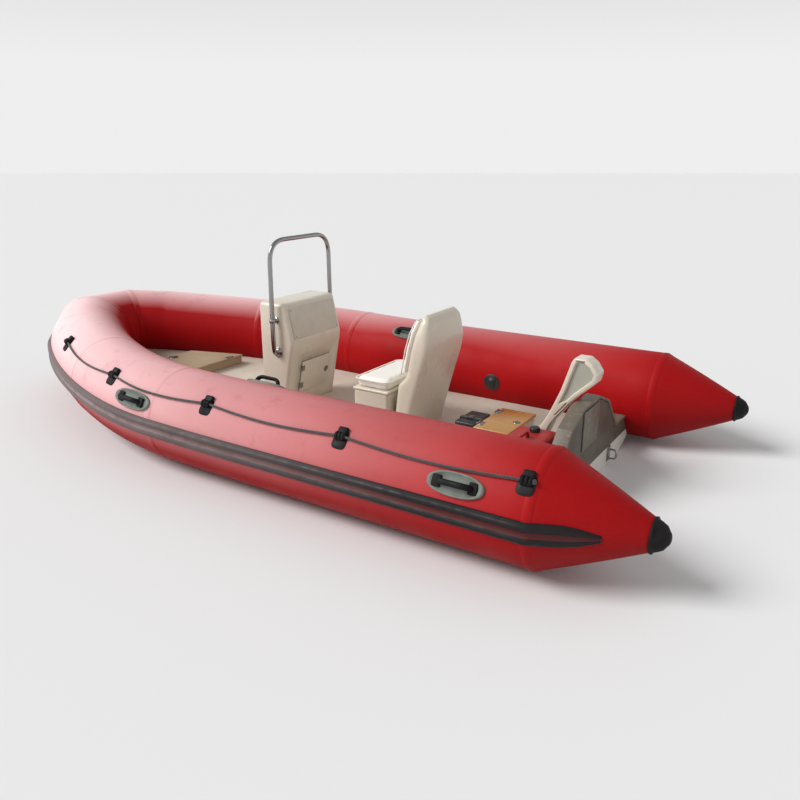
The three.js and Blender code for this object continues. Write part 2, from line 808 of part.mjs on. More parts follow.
// each level: height, x aft, x forward, half width
const backLevels = [
  [soleTop - 10, 1530, 1630, backHalf],
  [270, 1500, 1622, backHalf],
  [450, 1452, 1596, backHalf],
  [620, 1408, 1566, backHalf],
  [740, 1415, 1530, (backHalf + backTopHalf) / 2 + 8],
  [785, 1424, 1512, backTopHalf + 10],
  [backTop, 1438, 1500, backTopHalf - 10],
];
const backRings = backLevels.flatMap(([z, aft, front, half]) => {
  const cutFront = front - padThickness - gap;
  if (z < padFoot) {
    return [levelRing(z, aft, front, half, 24)];
  }
  const thin = levelRing(z, aft, cutFront, half, 24);
  return z === padFoot ? [levelRing(z - 4, aft + 1, front, half, 24), thin] : [thin];
});
addPiece('seat_back', cut(loft(backRings), underSole), 'gelcoat');
const padLevels = backLevels.filter(([z]) => z >= padFoot && z < backTop);
const padRings = padLevels.map(([z, , front, half], i) => {
  const lift = i === 0 ? 6 : 0;
  return levelRing(z + lift, front - padThickness, front, half - 14, 12);
});
addPiece('seat_back_pad', loft(padRings), 'vinyl');

// ---- bow locker ----
const bowLockerTop = deckHeight(bowLockerX[1]) + bowLockerHeight;

function lockerPlan(margin) {
  const [aft, front] = [bowLockerX[0] + margin, bowLockerX[1] - margin];
  const [wide, narrow] = bowLockerHalf.map((half) => half - margin);
  return [[aft, wide], [aft, -wide], [front, -narrow], [front, narrow]];
}

const bowLockerBlank = upright(lockerPlan(0), soleTop - 10, bowLockerTop);
const bowLockerInside = upright(lockerPlan(lockerWall), 0, bowLockerTop + 10);
addPiece('bow_locker', cut(bowLockerBlank, bowLockerInside, underSole), 'gelcoat');
const bowLidBottom = bowLockerTop + gap;
const bowLid = upright(lockerPlan(-6), bowLidBottom, bowLidBottom + bowLidThickness);
addPiece('bow_locker_lid', bowLid, 'sole');

// ---- stern locker, battery box and fuel tank ----
const sternLockerTop = soleTop + sternLockerHeight;
const sternOuter = box(sternLockerX, [-sternLockerHalf, sternLockerHalf], [soleTop + gap, sternLockerTop]);
const sternInner = box(
  [sternLockerX[0] + lockerWall, sternLockerX[1] - lockerWall],
  [lockerWall - sternLockerHalf, sternLockerHalf - lockerWall],
  [0, sternLockerTop + 10],
);
addPiece('stern_locker', cut(sternOuter, sternInner), 'gelcoat');
const sternLid = box(
  [sternLockerX[0] - lidOverhang, sternLockerX[1] + 2],
  [-sternLockerHalf - lidOverhang, sternLockerHalf + lidOverhang],
  [sternLockerTop + gap, sternLockerTop + gap + sternLidThickness],
);
addPiece('stern_locker_lid', sternLid, 'wood');

const boxFoot = soleTop + gap;
const batteryCorner = 12;
const batteryLevels = [[0, 0], [batteryHeight - 12, 0], [batteryHeight, 8]];
addPiece('battery_box', loft(batteryLevels.map(([rise, shrink]) => levelRing(
  boxFoot + rise,
  batteryX[0] + shrink,
  batteryX[1] - shrink,
  batteryHalf - shrink,
  batteryCorner,
))), 'rubber');

const tankCorner = 30;
const tankHalf = (tankY[1] - tankY[0]) / 2;
const tankMiddle = (tankY[1] + tankY[0]) / 2;
const tankLevels = [[boxFoot, 12], [soleTop + 14, 0], [tankTop - 26, 0], [tankTop, 22]];
const tankRings = tankLevels.map(([z, shrink]) => (
  levelRing(z, tankX[0] + shrink, tankX[1] - shrink, tankHalf - shrink, tankCorner)
));
addPiece('fuel_tank', loft(tankRings).translate(0, tankMiddle, 0), 'tank');
const fillerHeight = 24;
const fillerCap = new THREE.CylinderGeometry(26, 28, fillerHeight, 20).rotateX(Math.PI / 2);
fillerCap.translate((tankX[0] + tankX[1]) / 2, fillerY, tankTop + gap + fillerHeight / 2);
addPiece('fuel_cap', fillerCap, 'rubber');

// ---- towing eyes ----
const eyePlateThickness = 6;
for (const [side, sign] of [['port', 1], ['starboard', -1]]) {
  const y = sign * eyeY;
  const plateX = [transomAft - gap - eyePlateThickness, transomAft - gap];
  const plate = box(plateX, [y - 22, y + 22], [eyeZ - 42, eyeZ + 42]);
  const inside = transomAft - 4;
  const loop = bar([
    vector(inside, y, eyeZ + eyeHalf),
    vector(transomAft - eyeReach, y, eyeZ + eyeHalf),
    vector(transomAft - eyeReach, y, eyeZ - eyeHalf),
    vector(inside, y, eyeZ - eyeHalf),
  ], eyeBar, 22, 10);
  addPiece(`${side}_tow_eye`, join(plate, loop), 'stainless');
}

export default boat;
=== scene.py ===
"""Rigid inflatable boat with a centre console: the visual model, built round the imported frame."""
import math

import bmesh
import bpy
from mathutils import Matrix, Vector


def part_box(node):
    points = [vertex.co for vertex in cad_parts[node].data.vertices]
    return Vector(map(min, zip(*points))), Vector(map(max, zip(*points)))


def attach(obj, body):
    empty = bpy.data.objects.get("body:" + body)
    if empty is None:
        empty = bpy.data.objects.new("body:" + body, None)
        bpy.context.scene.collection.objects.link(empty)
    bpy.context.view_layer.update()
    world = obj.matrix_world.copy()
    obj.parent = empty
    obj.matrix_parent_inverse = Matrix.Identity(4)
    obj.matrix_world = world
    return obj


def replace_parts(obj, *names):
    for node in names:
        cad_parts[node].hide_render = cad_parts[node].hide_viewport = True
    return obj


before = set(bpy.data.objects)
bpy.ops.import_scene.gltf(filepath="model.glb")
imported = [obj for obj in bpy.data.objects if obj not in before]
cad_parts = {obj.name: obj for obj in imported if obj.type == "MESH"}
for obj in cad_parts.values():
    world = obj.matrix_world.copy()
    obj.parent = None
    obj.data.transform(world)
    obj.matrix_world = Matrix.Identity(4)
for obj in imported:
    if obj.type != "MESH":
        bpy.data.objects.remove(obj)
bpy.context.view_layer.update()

HALL = "boat"                    # the body that everything fixed rides on
scene = bpy.context.scene
SIDES = (("port", 1), ("starboard", -1))

# ---- sizes, in metres, taken from the frame ----
side_low, side_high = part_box("port_side_tube")
TUBE_R = (side_high.y - side_low.y) / 2
TUBE_Y = (side_high.y + side_low.y) / 2
TUBE_Z = side_low.z + TUBE_R
CONE_LENGTH = side_low.x
CAP_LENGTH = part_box("port_cone_cap")[1].x
CONE_TIP_R = 0.034
BEND_START = side_high.x
BOW_X = 4.27                     # where the bend would end on the centreline
BOW_REACH = 0.7
BOW_BREADTH = 0.3
BOW_RISE = 0.124
RISE_START = 1.92
BEND_SMOOTH = 0.68               # share of the bend that turns steadily
NOSE_MITRE = 0.84                # share of the bend where the nose tube starts
ROPE_R = 0.006
ROPE_ANGLE = 45
HOLDER_PLACES = (0.495, 1.35, 2.155)
HOLDER_SHARES = (0.17, 0.52)
GRIP_ANGLE = 27
INNER_HANDLE_ANGLE = 128


# ---- camera: the port quarter, about 1.6 m above the water ----
def make_camera():
    data = bpy.data.cameras.new("camera")
    camera = bpy.data.objects.new("camera", data)
    scene.collection.objects.link(camera)
    heading, pitch = math.radians(57.53), math.radians(18.29)
    look = Vector((
        math.cos(heading) * math.cos(pitch),
        -math.sin(heading) * math.cos(pitch),
        -math.sin(pitch),
    ))
    camera.location = (-0.467, 3.415, 1.602)
    camera.rotation_mode = "QUATERNION"
    camera.rotation_quaternion = look.to_track_quat("-Z", "Y")
    data.sensor_width = 36
    data.lens = 33.71
    data.clip_start, data.clip_end = 0.05, 60
    scene.camera = camera


make_camera()


# ---- materials ----
class Shader:
    """A principled material, with its nodes added step by step."""

    def __init__(self, name, color, roughness, metallic=0.0, **sockets):
        self.material = bpy.data.materials.new(name)
        self.material.use_nodes = True
        self.tree = self.material.node_tree
        self.main = self.tree.nodes["Principled BSDF"]
        self.material.diffuse_color = (*color, 1)
        self.put("Base Color", (*color, 1))
        self.put("Roughness", roughness)
        self.put("Metallic", metallic)
        for socket, value in sockets.items():
            self.put(socket.replace("_", " "), value)
        self.place = self.node("ShaderNodeTexCoord").outputs["Object"]
        self.color = self.main.inputs["Base Color"]
        self.bump = None

    def put(self, socket, value):
        self.main.inputs[socket].default_value = value

    def node(self, kind, **values):
        made = self.tree.nodes.new(kind)
        for key, value in values.items():
            if key in made.inputs:
                made.inputs[key].default_value = value
            else:
                setattr(made, key, value)
        return made

    def link(self, source, target):
        self.tree.links.new(source, target)

    def stretched(self, scale):
        mapping = self.node("ShaderNodeMapping")
        mapping.inputs["Scale"].default_value = scale
        self.link(self.place, mapping.inputs["Vector"])
        return mapping.outputs["Vector"]

    def noise(self, scale, detail=3.0, roughness=0.5, place=None):
        made = self.node("ShaderNodeTexNoise")
        made.inputs["Scale"].default_value = scale
        made.inputs["Detail"].default_value = detail
        made.inputs["Roughness"].default_value = roughness
        self.link(place or self.place, made.inputs["Vector"])
        return made.outputs["Fac"]

    def cells(self, scale, feature="F1", place=None):
        made = self.node("ShaderNodeTexVoronoi", feature=feature)
        made.inputs["Scale"].default_value = scale
        self.link(place or self.place, made.inputs["Vector"])
        return made.outputs["Distance"]

    def waves(self, scale, distortion=0.0, direction="X", place=None, profile="SIN"):
        made = self.node("ShaderNodeTexWave", bands_direction=direction, wave_profile=profile)
        made.inputs["Scale"].default_value = scale
        made.inputs["Distortion"].default_value = distortion
        made.inputs["Detail"].default_value = 2.0
        self.link(place or self.place, made.inputs["Vector"])
        return made.outputs["Fac"]

    def span(self, value, low, high, to_low=0.0, to_high=1.0):
        made = self.node("ShaderNodeMapRange")
        for socket, number in zip((1, 2, 3, 4), (low, high, to_low, to_high)):
            made.inputs[socket].default_value = number
        self.link(value, made.inputs[0])
        return made.outputs[0]

    def math(self, operation, first, second):
        made = self.node("ShaderNodeMath", operation=operation)
        for socket, value in zip(made.inputs, (first, second)):
            if isinstance(value, (int, float)):
                socket.default_value = value
            else:
                self.link(value, socket)
        return made.outputs[0]

    def tint(self, factor, color):
        """Mixes the present colour towards another one by a factor."""
        mix = self.node("ShaderNodeMix", data_type="RGBA")
        if self.color.is_linked:
            self.link(self.color.links[0].from_socket, mix.inputs["A"])
        else:
            mix.inputs["A"].default_value = self.color.default_value
        mix.inputs["B"].default_value = (*color, 1)
        self.link(factor, mix.inputs["Factor"])
        self.link(mix.outputs["Result"], self.color)

    def blotches(self, scale, detail, low, high, amount, color, roughness=0.5, place=None):
        """Patches of another colour, where a noise rises from low to high."""
        self.tint(self.span(self.noise(scale, detail, roughness, place), low, high, 0, amount), color)

    def relief(self, height, distance, strength=1.0):
        bump = self.node("ShaderNodeBump")
        bump.inputs["Distance"].default_value = distance
        bump.inputs["Strength"].default_value = strength
        self.link(height, bump.inputs["Height"])
        if self.bump:
            self.link(self.bump, bump.inputs["Normal"])
        self.bump = bump.outputs["Normal"]
        self.link(self.bump, self.main.inputs["Normal"])

    def rough(self, value, low, high):
        self.link(self.span(value, 0.3, 0.7, low, high), self.main.inputs["Roughness"])

    def uneven(self, scale, detail, low, high):
        """Roughness that wanders from low to high."""
        self.rough(self.noise(scale, detail), low, high)

    def axis(self, name):
        split = self.node("ShaderNodeSeparateXYZ")
        self.link(self.place, split.inputs[0])
        return split.outputs[name]

    def facing_up(self):
        split = self.node("ShaderNodeSeparateXYZ")
        self.link(self.node("ShaderNodeNewGeometry").outputs["Normal"], split.inputs[0])
        return split.outputs["Z"]

    def facing_out(self, middle):
        """1 where a surface faces away from a point of the deck, -1 where it faces it."""
        from_middle = self.node("ShaderNodeVectorMath", operation="SUBTRACT")
        self.link(self.place, from_middle.inputs[0])
        from_middle.inputs[1].default_value = middle
        level = self.node("ShaderNodeVectorMath", operation="MULTIPLY")
        self.link(from_middle.outputs[0], level.inputs[0])
        level.inputs[1].default_value = (1, 1, 0)
        unit = self.node("ShaderNodeVectorMath", operation="NORMALIZE")
        self.link(level.outputs[0], unit.inputs[0])
        dot = self.node("ShaderNodeVectorMath", operation="DOT_PRODUCT")
        self.link(unit.outputs[0], dot.inputs[0])
        self.link(self.node("ShaderNodeNewGeometry").outputs["Normal"], dot.inputs[1])
        return dot.outputs["Value"]


def coated_fabric():
    made = Shader("coated_fabric", (0.37, 0.002, 0.004), 0.6, Specular_IOR_Level=0.14)
    soft = made.noise(1.3, 4)
    made.tint(made.span(soft, 0.35, 0.7, 0, 0.45), (0.47, 0.004, 0.005))
    # painted highlight: the pale pink glare of the light on what faces up and out, strongest towards the
    # bow, is painted into the colour
    up = made.facing_up()
    glare_facing = made.math("ADD", made.math("MULTIPLY", up, 0.85),
                         made.math("MULTIPLY", made.facing_out((1.9, 0, 0)), 0.7))
    bow_glare_ramp = made.math("POWER", made.span(made.axis("X"), 0.4, 3.6), 1.35)
    painted_glare = made.math("MULTIPLY", made.span(glare_facing, 0.12, 0.9), bow_glare_ramp)
    made.tint(made.math("MULTIPLY", painted_glare, made.span(soft, 0.2, 0.8, 0.9, 1.1)), (0.98, 0.68, 0.69))
    # painted shade: faces that look down are darkened to a deep red
    made.tint(made.span(up, -0.55, -0.08, 0.6, 0), (0.22, 0.001, 0.002))
    # painted shade: the aft end and the cones, turned from the light, are darkened to a deep red
    made.tint(made.span(made.axis("X"), 0.1, 0.8, 0.55, 0), (0.2, 0.001, 0.002))
    made.blotches(9, 7, 0.56, 0.8, 0.3, (0.27, 0.012, 0.014), 0.65)
    made.blotches(160, 3, 0.55, 0.8, 0.15, (0.5, 0.04, 0.04))
    made.uneven(5, 5, 0.5, 0.66)
    made.relief(made.cells(620), 0.00025, 0.35)
    made.relief(made.noise(11, 3), 0.004, 0.35)
    return made.material


def black_rubber():
    made = Shader("black_rubber", (0.006, 0.005, 0.006), 0.65, Specular_IOR_Level=0.2)
    made.blotches(9, 6, 0.45, 0.75, 0.5, (0.024, 0.021, 0.02))
    made.uneven(22, 4, 0.5, 0.75)
    made.relief(made.noise(420, 2), 0.0003, 0.5)
    return made.material


def strake_rubber():
    made = Shader("strake_rubber", (0.012, 0.009, 0.01), 0.6, Specular_IOR_Level=0.25)
    # painted highlight: the strake turns lighter grey towards the bow, where the light glares on it
    bow_glare_ramp = made.span(made.axis("X"), 1.0, 3.3)
    made.tint(made.math("MULTIPLY", bow_glare_ramp, made.span(made.noise(3, 5), 0.2, 0.8, 0.6, 1.0)),
              (0.2, 0.15, 0.15))
    made.uneven(30, 4, 0.42, 0.66)
    made.relief(made.noise(300, 2), 0.0003, 0.5)
    return made.material


def groove_rubber():
    made = Shader("groove_rubber", (0.09, 0.016, 0.016), 0.6, Specular_IOR_Level=0.25)
    # painted highlight: the groove turns lighter towards the bow, where the light glares on it
    made.tint(made.span(made.axis("X"), 0.9, 3.2, 0, 0.9), (0.3, 0.24, 0.23))
    made.blotches(14, 6, 0.45, 0.75, 0.5, (0.06, 0.03, 0.03))
    made.uneven(30, 4, 0.5, 0.7)
    made.relief(made.noise(300, 2), 0.0003, 0.5)
    return made.material


def grip_rubber():
    made = Shader("grip_rubber", (0.15, 0.17, 0.145), 0.6)
    made.blotches(26, 5, 0.4, 0.7, 0.5, (0.25, 0.27, 0.24))
    made.uneven(40, 4, 0.5, 0.7)
    made.relief(made.cells(500), 0.0003, 0.5)
    return made.material


def gelcoat():
    made = Shader("gelcoat", (0.72, 0.66, 0.55), 0.3, Coat_Weight=0.2, Coat_Roughness=0.15)
    made.blotches(2.2, 5, 0.4, 0.75, 0.45, (0.6, 0.54, 0.43))
    made.blotches(70, 3, 0.55, 0.85, 0.25, (0.52, 0.46, 0.37), 0.5)
    low = made.span(made.axis("Z"), 0.14, 0.24, 0.45, 0)
    made.tint(made.math("MULTIPLY", low, made.span(made.noise(7, 4, 0.55), 0.3, 0.7)), (0.5, 0.43, 0.33))
    made.uneven(7, 5, 0.22, 0.42)
    made.relief(made.noise(75, 2), 0.0006, 0.25)
    return made.material


def non_slip():
    made = Shader("non_slip", (0.66, 0.6, 0.49), 0.6)
    made.blotches(2.6, 6, 0.35, 0.7, 0.55, (0.8, 0.76, 0.66))
    made.blotches(17, 6, 0.55, 0.8, 0.4, (0.4, 0.34, 0.26), 0.7)
    # painted shadow: the deck near the bow is darkened to tan where the bow tube shades it
    bow = made.span(made.axis("X"), 3.0, 3.75, 0, 0.75)
    made.tint(made.math("MULTIPLY", bow, made.span(made.noise(4, 5), 0.25, 0.65)), (0.33, 0.24, 0.15))
    studs = made.cells(95, "F1")
    made.uneven(12, 4, 0.5, 0.75)
    made.relief(made.span(studs, 0.25, 0.45, 1, 0), 0.0012, 0.6)
    return made.material


def shaded_non_slip():
    # painted shade: a darker tan copy of the non-slip, standing for the deck at the bow in shade
    made = Shader("shaded_non_slip", (0.4, 0.3, 0.19), 0.6)
    made.blotches(3.5, 6, 0.35, 0.7, 0.5, (0.5, 0.4, 0.27))
    made.blotches(22, 6, 0.6, 0.78, 0.4, (0.2, 0.14, 0.09), 0.7)
    made.uneven(12, 4, 0.5, 0.75)
    made.relief(made.span(made.cells(95), 0.25, 0.45, 1, 0), 0.0012, 0.6)
    return made.material


def transom_in_shade():
    # painted shade: the dark grey-brown stands for the light transom moulding in shade; below 0.1 m it
    # turns to the hull's white
    made = Shader("transom_in_shade", (0.09, 0.073, 0.055), 0.5)
    made.blotches(5, 6, 0.4, 0.7, 0.6, (0.12, 0.1, 0.076))
    made.blotches(40, 8, 0.62, 0.72, 0.3, (0.2, 0.17, 0.14), 0.75)
    below = made.span(made.axis("Z"), 0.098, 0.104, 1, 0)
    made.tint(below, (0.74, 0.71, 0.65))
    made.uneven(9, 5, 0.38, 0.62)
    made.relief(made.noise(160, 3), 0.0005, 0.4)
    return made.material


def stainless():
    made = Shader("stainless", (0.33, 0.33, 0.33), 0.26, 1.0)
    streaks = made.noise(60, 4, 0.6, made.stretched((1, 1, 0.05)))
    made.rough(streaks, 0.12, 0.34)
    made.blotches(18, 5, 0.6, 0.8, 0.4, (0.42, 0.36, 0.3))
    made.relief(streaks, 0.0001, 0.3)
    return made.material


def vinyl():
    made = Shader("vinyl", (0.9, 0.87, 0.8), 0.45, Sheen_Weight=0.15, Sheen_Roughness=0.5)
    made.blotches(7, 5, 0.4, 0.75, 0.35, (0.8, 0.75, 0.66))
    made.uneven(30, 4, 0.38, 0.55)
    made.relief(made.cells(430), 0.0005, 0.5)
    made.relief(made.noise(26, 4), 0.0015, 0.3)
    return made.material


def varnished_wood():
    made = Shader("varnished_wood", (0.52, 0.27, 0.06), 0.36, Coat_Weight=0.35, Coat_Roughness=0.2)
    grain = made.waves(9, 5.5, "Y", made.stretched((0.35, 1.6, 1)))
    made.tint(made.span(grain, 0.3, 0.9, 0, 0.65), (0.3, 0.125, 0.022))
    made.tint(made.span(made.noise(90, 6, 0.6, made.stretched((0.1, 1, 1))), 0.5, 0.8, 0, 0.4),
              (0.13, 0.05, 0.01))
    made.uneven(10, 4, 0.2, 0.4)
    made.relief(grain, 0.0003, 0.3)
    return made.material


def tank_plastic():
    made = Shader("tank_plastic", (0.36, 0.012, 0.012), 0.42)
    made.blotches(9, 5, 0.4, 0.75, 0.5, (0.48, 0.03, 0.025))
    made.uneven(35, 4, 0.36, 0.52)
    made.relief(made.noise(260, 3), 0.0006, 0.5)
    return made.material


def dash_plastic():
    made = Shader("dash_plastic", (0.62, 0.57, 0.48), 0.5)
    made.blotches(16, 5, 0.45, 0.75, 0.4, (0.5, 0.46, 0.38))
    made.uneven(35, 4, 0.4, 0.6)
    made.relief(made.cells(700), 0.0003, 0.4)
    return made.material


def braided_rope():
    made = Shader("braided_rope", (0.02, 0.018, 0.02), 0.8, Sheen_Weight=0.3, Sheen_Roughness=0.6)
    made.blotches(120, 4, 0.4, 0.7, 0.5, (0.09, 0.07, 0.07))
    made.relief(made.waves(150, 2, "DIAGONAL"), 0.0012, 0.8)
    return made.material


def edging_in_shade():
    # painted shade: the dark brown is the transom's colour in shade; the lighter patches are wear
    made = Shader("edging_in_shade", (0.14, 0.118, 0.09), 0.42)
    made.blotches(30, 6, 0.5, 0.8, 0.6, (0.42, 0.38, 0.32), 0.7)
    made.uneven(30, 4, 0.35, 0.55)
    made.relief(made.noise(200, 3), 0.0004, 0.4)
    return made.material


def shaded_gelcoat():
    made = Shader("shaded_gelcoat", (0.4, 0.41, 0.34), 0.5)
    made.blotches(8, 5, 0.4, 0.7, 0.5, (0.52, 0.52, 0.44))
    made.uneven(30, 4, 0.42, 0.6)
    made.relief(made.noise(200, 3), 0.0004, 0.4)
    return made.material


def black_plastic():
    made = Shader("black_plastic", (0.02, 0.02, 0.022), 0.4)
    made.blotches(20, 5, 0.5, 0.8, 0.4, (0.07, 0.07, 0.07))
    made.uneven(35, 4, 0.34, 0.55)
    made.relief(made.noise(350, 2), 0.0003, 0.4)
    return made.material


FABRIC = coated_fabric()
RUBBER = black_rubber()
STRAKE = strake_rubber()
GRIP = grip_rubber()
GELCOAT = gelcoat()
NON_SLIP = non_slip()
SHADE_TAN = shaded_non_slip()
TRANSOM = transom_in_shade()
STEEL = stainless()
VINYL = vinyl()
WOOD = varnished_wood()
TANK = tank_plastic()
DASH = dash_plastic()
ROPE = braided_rope()
PLASTIC = black_plastic()
GROOVE = groove_rubber()
SHADED = shaded_gelcoat()
EDGING = edging_in_shade()


# ---- mesh helpers ----
def add_object(name, mesh, material, body=HALL, smooth=True):
    made = bpy.data.objects.new(name, mesh)
    scene.collection.objects.link(made)
    mesh.materials.clear()
    mesh.materials.append(material)
    for face in mesh.polygons:
        face.use_smooth = smooth
    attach(made, body)
    return made


def add_joined(name, meshes, material, body=HALL):
    return add_object(name, joined(name, meshes), material, body)


def from_rings(name, rings, closed=False):
    """A skin over rings of points, with its ends closed unless the rings run round in a loop."""
    count = len(rings[0])
    points = [tuple(point) for ring in rings for point in ring]
    faces = []
    for row in range(len(rings) if closed else len(rings) - 1):
        after = (row + 1) % len(rings)
        for i in range(count):
            j = (i + 1) % count
            faces.append((row * count + i, row * count + j, after * count + j, after * count + i))
    if not closed:
        faces.append(tuple(reversed(range(count))))
        start = (len(rings) - 1) * count
        faces.append(tuple(range(start, start + count)))
    mesh = bpy.data.meshes.new(name)
    mesh.from_pydata(points, [], faces)
    made = bmesh.new()
    made.from_mesh(mesh)
    bmesh.ops.recalc_face_normals(made, faces=made.faces)
    made.to_mesh(mesh)
    made.free()
    return mesh


def joined(name, meshes):
    """One mesh from several."""
    made = bmesh.new()
    for mesh in meshes:
        made.from_mesh(mesh)
        bpy.data.meshes.remove(mesh)
    mesh = bpy.data.meshes.new(name)
    made.to_mesh(mesh)
    made.free()
    return mesh


def block(size, bevel=0.0, segments=3, matrix=None, edges=None):
    """A box about the origin, with rounded edges."""
    made = bmesh.new()
    bmesh.ops.create_cube(made, size=1, matrix=Matrix.Diagonal((*size, 1)))
    if bevel:
        chosen = [edge for edge in made.edges if edges is None or edges(edge)]
        bmesh.ops.bevel(made, geom=chosen, offset=bevel, segments=segments, affect="EDGES", profile=0.5)
    mesh = bpy.data.meshes.new("block")
    made.to_mesh(mesh)
    made.free()
    if matrix:
        mesh.transform(matrix)
    return mesh


def lathe(profile, sides=32, matrix=None):
    """A turned solid about Z: profile is (radius, height), from the axis to the axis or closed."""
    rings = []
    for i in range(sides):
        angle = 2 * math.pi * i / sides
        rings.append([Vector((r * math.cos(angle), r * math.sin(angle), z)) for r, z in profile])
    mesh = from_rings("lathe", rings, closed=True)
    made = bmesh.new()
    made.from_mesh(mesh)
    bmesh.ops.remove_doubles(made, verts=made.verts, dist=1e-6)
    bmesh.ops.dissolve_degenerate(made, dist=1e-7, edges=made.edges)
    bmesh.ops.recalc_face_normals(made, faces=made.faces)
    made.to_mesh(mesh)
    made.free()
    if matrix:
        mesh.transform(matrix)
    return mesh


def ring_about(centre, first, second, radius, sides, turn=0.0):
    points = []
    for i in range(sides):
        angle = turn + 2 * math.pi * i / sides
        points.append(centre + radius * (math.cos(angle) * first + math.sin(angle) * second))
    return points


def bar(points, radius, sides=20):
    """A round bar along points, with a frame carried along it."""
    points = [Vector(point) for point in points]
    rings = []
    side = None
    for i, point in enumerate(points):
        ahead = points[min(i + 1, len(points) - 1)] - points[max(i - 1, 0)]
        ahead.normalize()
        if side is None:
            side = ahead.orthogonal().normalized()
        side = (side - ahead * side.dot(ahead)).normalized()
        rings.append(ring_about(point, side, ahead.cross(side), radius, sides))
    return from_rings("bar", rings)


def rounded_path(corners, bend, steps=8):
    """Straight stretches joined by round bends."""
    corners = [Vector(corner) for corner in corners]
    path = [corners[0]]
    for before, corner, after in zip(corners, corners[1:], corners[2:]):
        into, out = before - corner, after - corner
        start = corner + into.normalized() * min(bend, into.length * 0.48)
        end = corner + out.normalized() * min(bend, out.length * 0.48)
        for i in range(steps + 1):
            t = i / steps
            path.append(start.lerp(corner, t).lerp(corner.lerp(end, t), t))
    return path + [corners[-1]]


def bevelled(made, width, segments=3, angle=30):
    modifier = made.modifiers.new("round", "BEVEL")
    modifier.width = width
    modifier.segments = segments
    modifier.limit_method = "ANGLE"
    modifier.angle_limit = math.radians(angle)
    modifier.harden_normals = True
    return made


def clean_copy(node):
    """The CAD node's mesh with its flat faces whole again."""
    made = bmesh.new()
    made.from_mesh(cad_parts[node].data)
    bmesh.ops.remove_doubles(made, verts=made.verts, dist=2e-5)
    bmesh.ops.dissolve_limit(made, angle_limit=math.radians(1), verts=made.verts, edges=made.edges)
    mesh = bpy.data.meshes.new(node)
    made.to_mesh(mesh)
    made.free()
    return mesh


def softened(node, material, width, segments=3, body=HALL, name=None):
    """A CAD node with the rounded edges of a moulding."""
    made = add_object(name or node + "_moulding", clean_copy(node), material, body)
    bevelled(made, width, segments)
    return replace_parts(made, node)


# ---- the collar's line ----
def rise_at(x):
    return BOW_RISE * (max(x - RISE_START, 0) / (BOW_X - RISE_START)) ** 2


def bend_at(t):
    corners = (
        Vector((BEND_START, TUBE_Y)),
        Vector((BEND_START + BOW_REACH, TUBE_Y)),
        Vector((BOW_X, BOW_BREADTH)),
        Vector((BOW_X, 0)),
    )
    while len(corners) > 1:
        corners = [a.lerp(b, t) for a, b in zip(corners, corners[1:])]
    return corners[0]


def lifted(flat, sign=1):
    return Vector((flat.x, flat.y * sign, TUBE_Z + rise_at(flat.x)))


MITRE = bend_at(NOSE_MITRE)


def port_line():
    """Points of the port tube's middle on the flat, from the cone to the mitre, about evenly spaced."""
    straight = [Vector((CONE_LENGTH + (BEND_START - CONE_LENGTH) * i / 24, TUBE_Y)) for i in range(24)]
    curved = [bend_at(BEND_SMOOTH * i / 26) for i in range(27)]
    return straight + curved


class Line:
    """Distances along the port side's middle line, from the start of the side tube to the mitre."""

    def __init__(self):
        self.points = port_line() + [MITRE]
        self.at = [0.0]
        for a, b in zip(self.points, self.points[1:]):
            self.at.append(self.at[-1] + (b - a).length)
        self.length = self.at[-1]

    def point(self, distance):
        for i in range(len(self.at) - 1):
            if distance <= self.at[i + 1] or i == len(self.at) - 2:
                share = (distance - self.at[i]) / (self.at[i + 1] - self.at[i])
                return self.points[i].lerp(self.points[i + 1], share)

    def at_x(self, x):
        return x - CONE_LENGTH


LINE = Line()


def bend_distance(share):
    """Distance along the line at a share of the whole bend's length, measured along the curve."""
    steps = 200
    points = [bend_at(i / steps) for i in range(steps + 1)]
    lengths = [0.0]
    for a, b in zip(points, points[1:]):
        lengths.append(lengths[-1] + (b - a).length)
    return BEND_START - CONE_LENGTH + share * lengths[-1]


def skin(distance, angle, sign=1, height=0.0):
    """A frame on the tube's skin: X along the tube, Y up round the skin, Z out of it."""
    step = 0.01
    here = lifted(LINE.point(distance), sign)
    ahead = lifted(LINE.point(distance + step), sign) - lifted(LINE.point(distance - step), sign)
    ahead.normalize()
    outward = Vector((-ahead.y, ahead.x, 0)) * sign
    outward.normalize()
    turn = math.radians(angle)
    out = outward * math.cos(turn) + Vector((0, 0, math.sin(turn)))
    out = (out - ahead * out.dot(ahead)).normalized()
    up = out.cross(ahead).normalized()
    made = Matrix((ahead, up, out)).transposed().to_4x4()
    made.translation = here + out * (TUBE_R + height)
    return made


# ---- collar ----
COLLAR_SIDES = 80


def flat_ring(centre, outward, radius, lift=0.0):
    points = []
    for i in range(COLLAR_SIDES):
        angle = 2 * math.pi * i / COLLAR_SIDES
        reach = radius + lift
        points.append(centre + outward * (reach * math.cos(angle)) + Vector((0, 0,
                                                                             reach * math.sin(angle))))
    return points


def mixed(first, second, share):
    return [a.lerp(b, share) for a, b in zip(first, second)]


def cone_radius(x):
    share = x / CONE_LENGTH
    return CONE_TIP_R + (TUBE_R - CONE_TIP_R) * share + 0.004 * math.sin(math.pi * share)


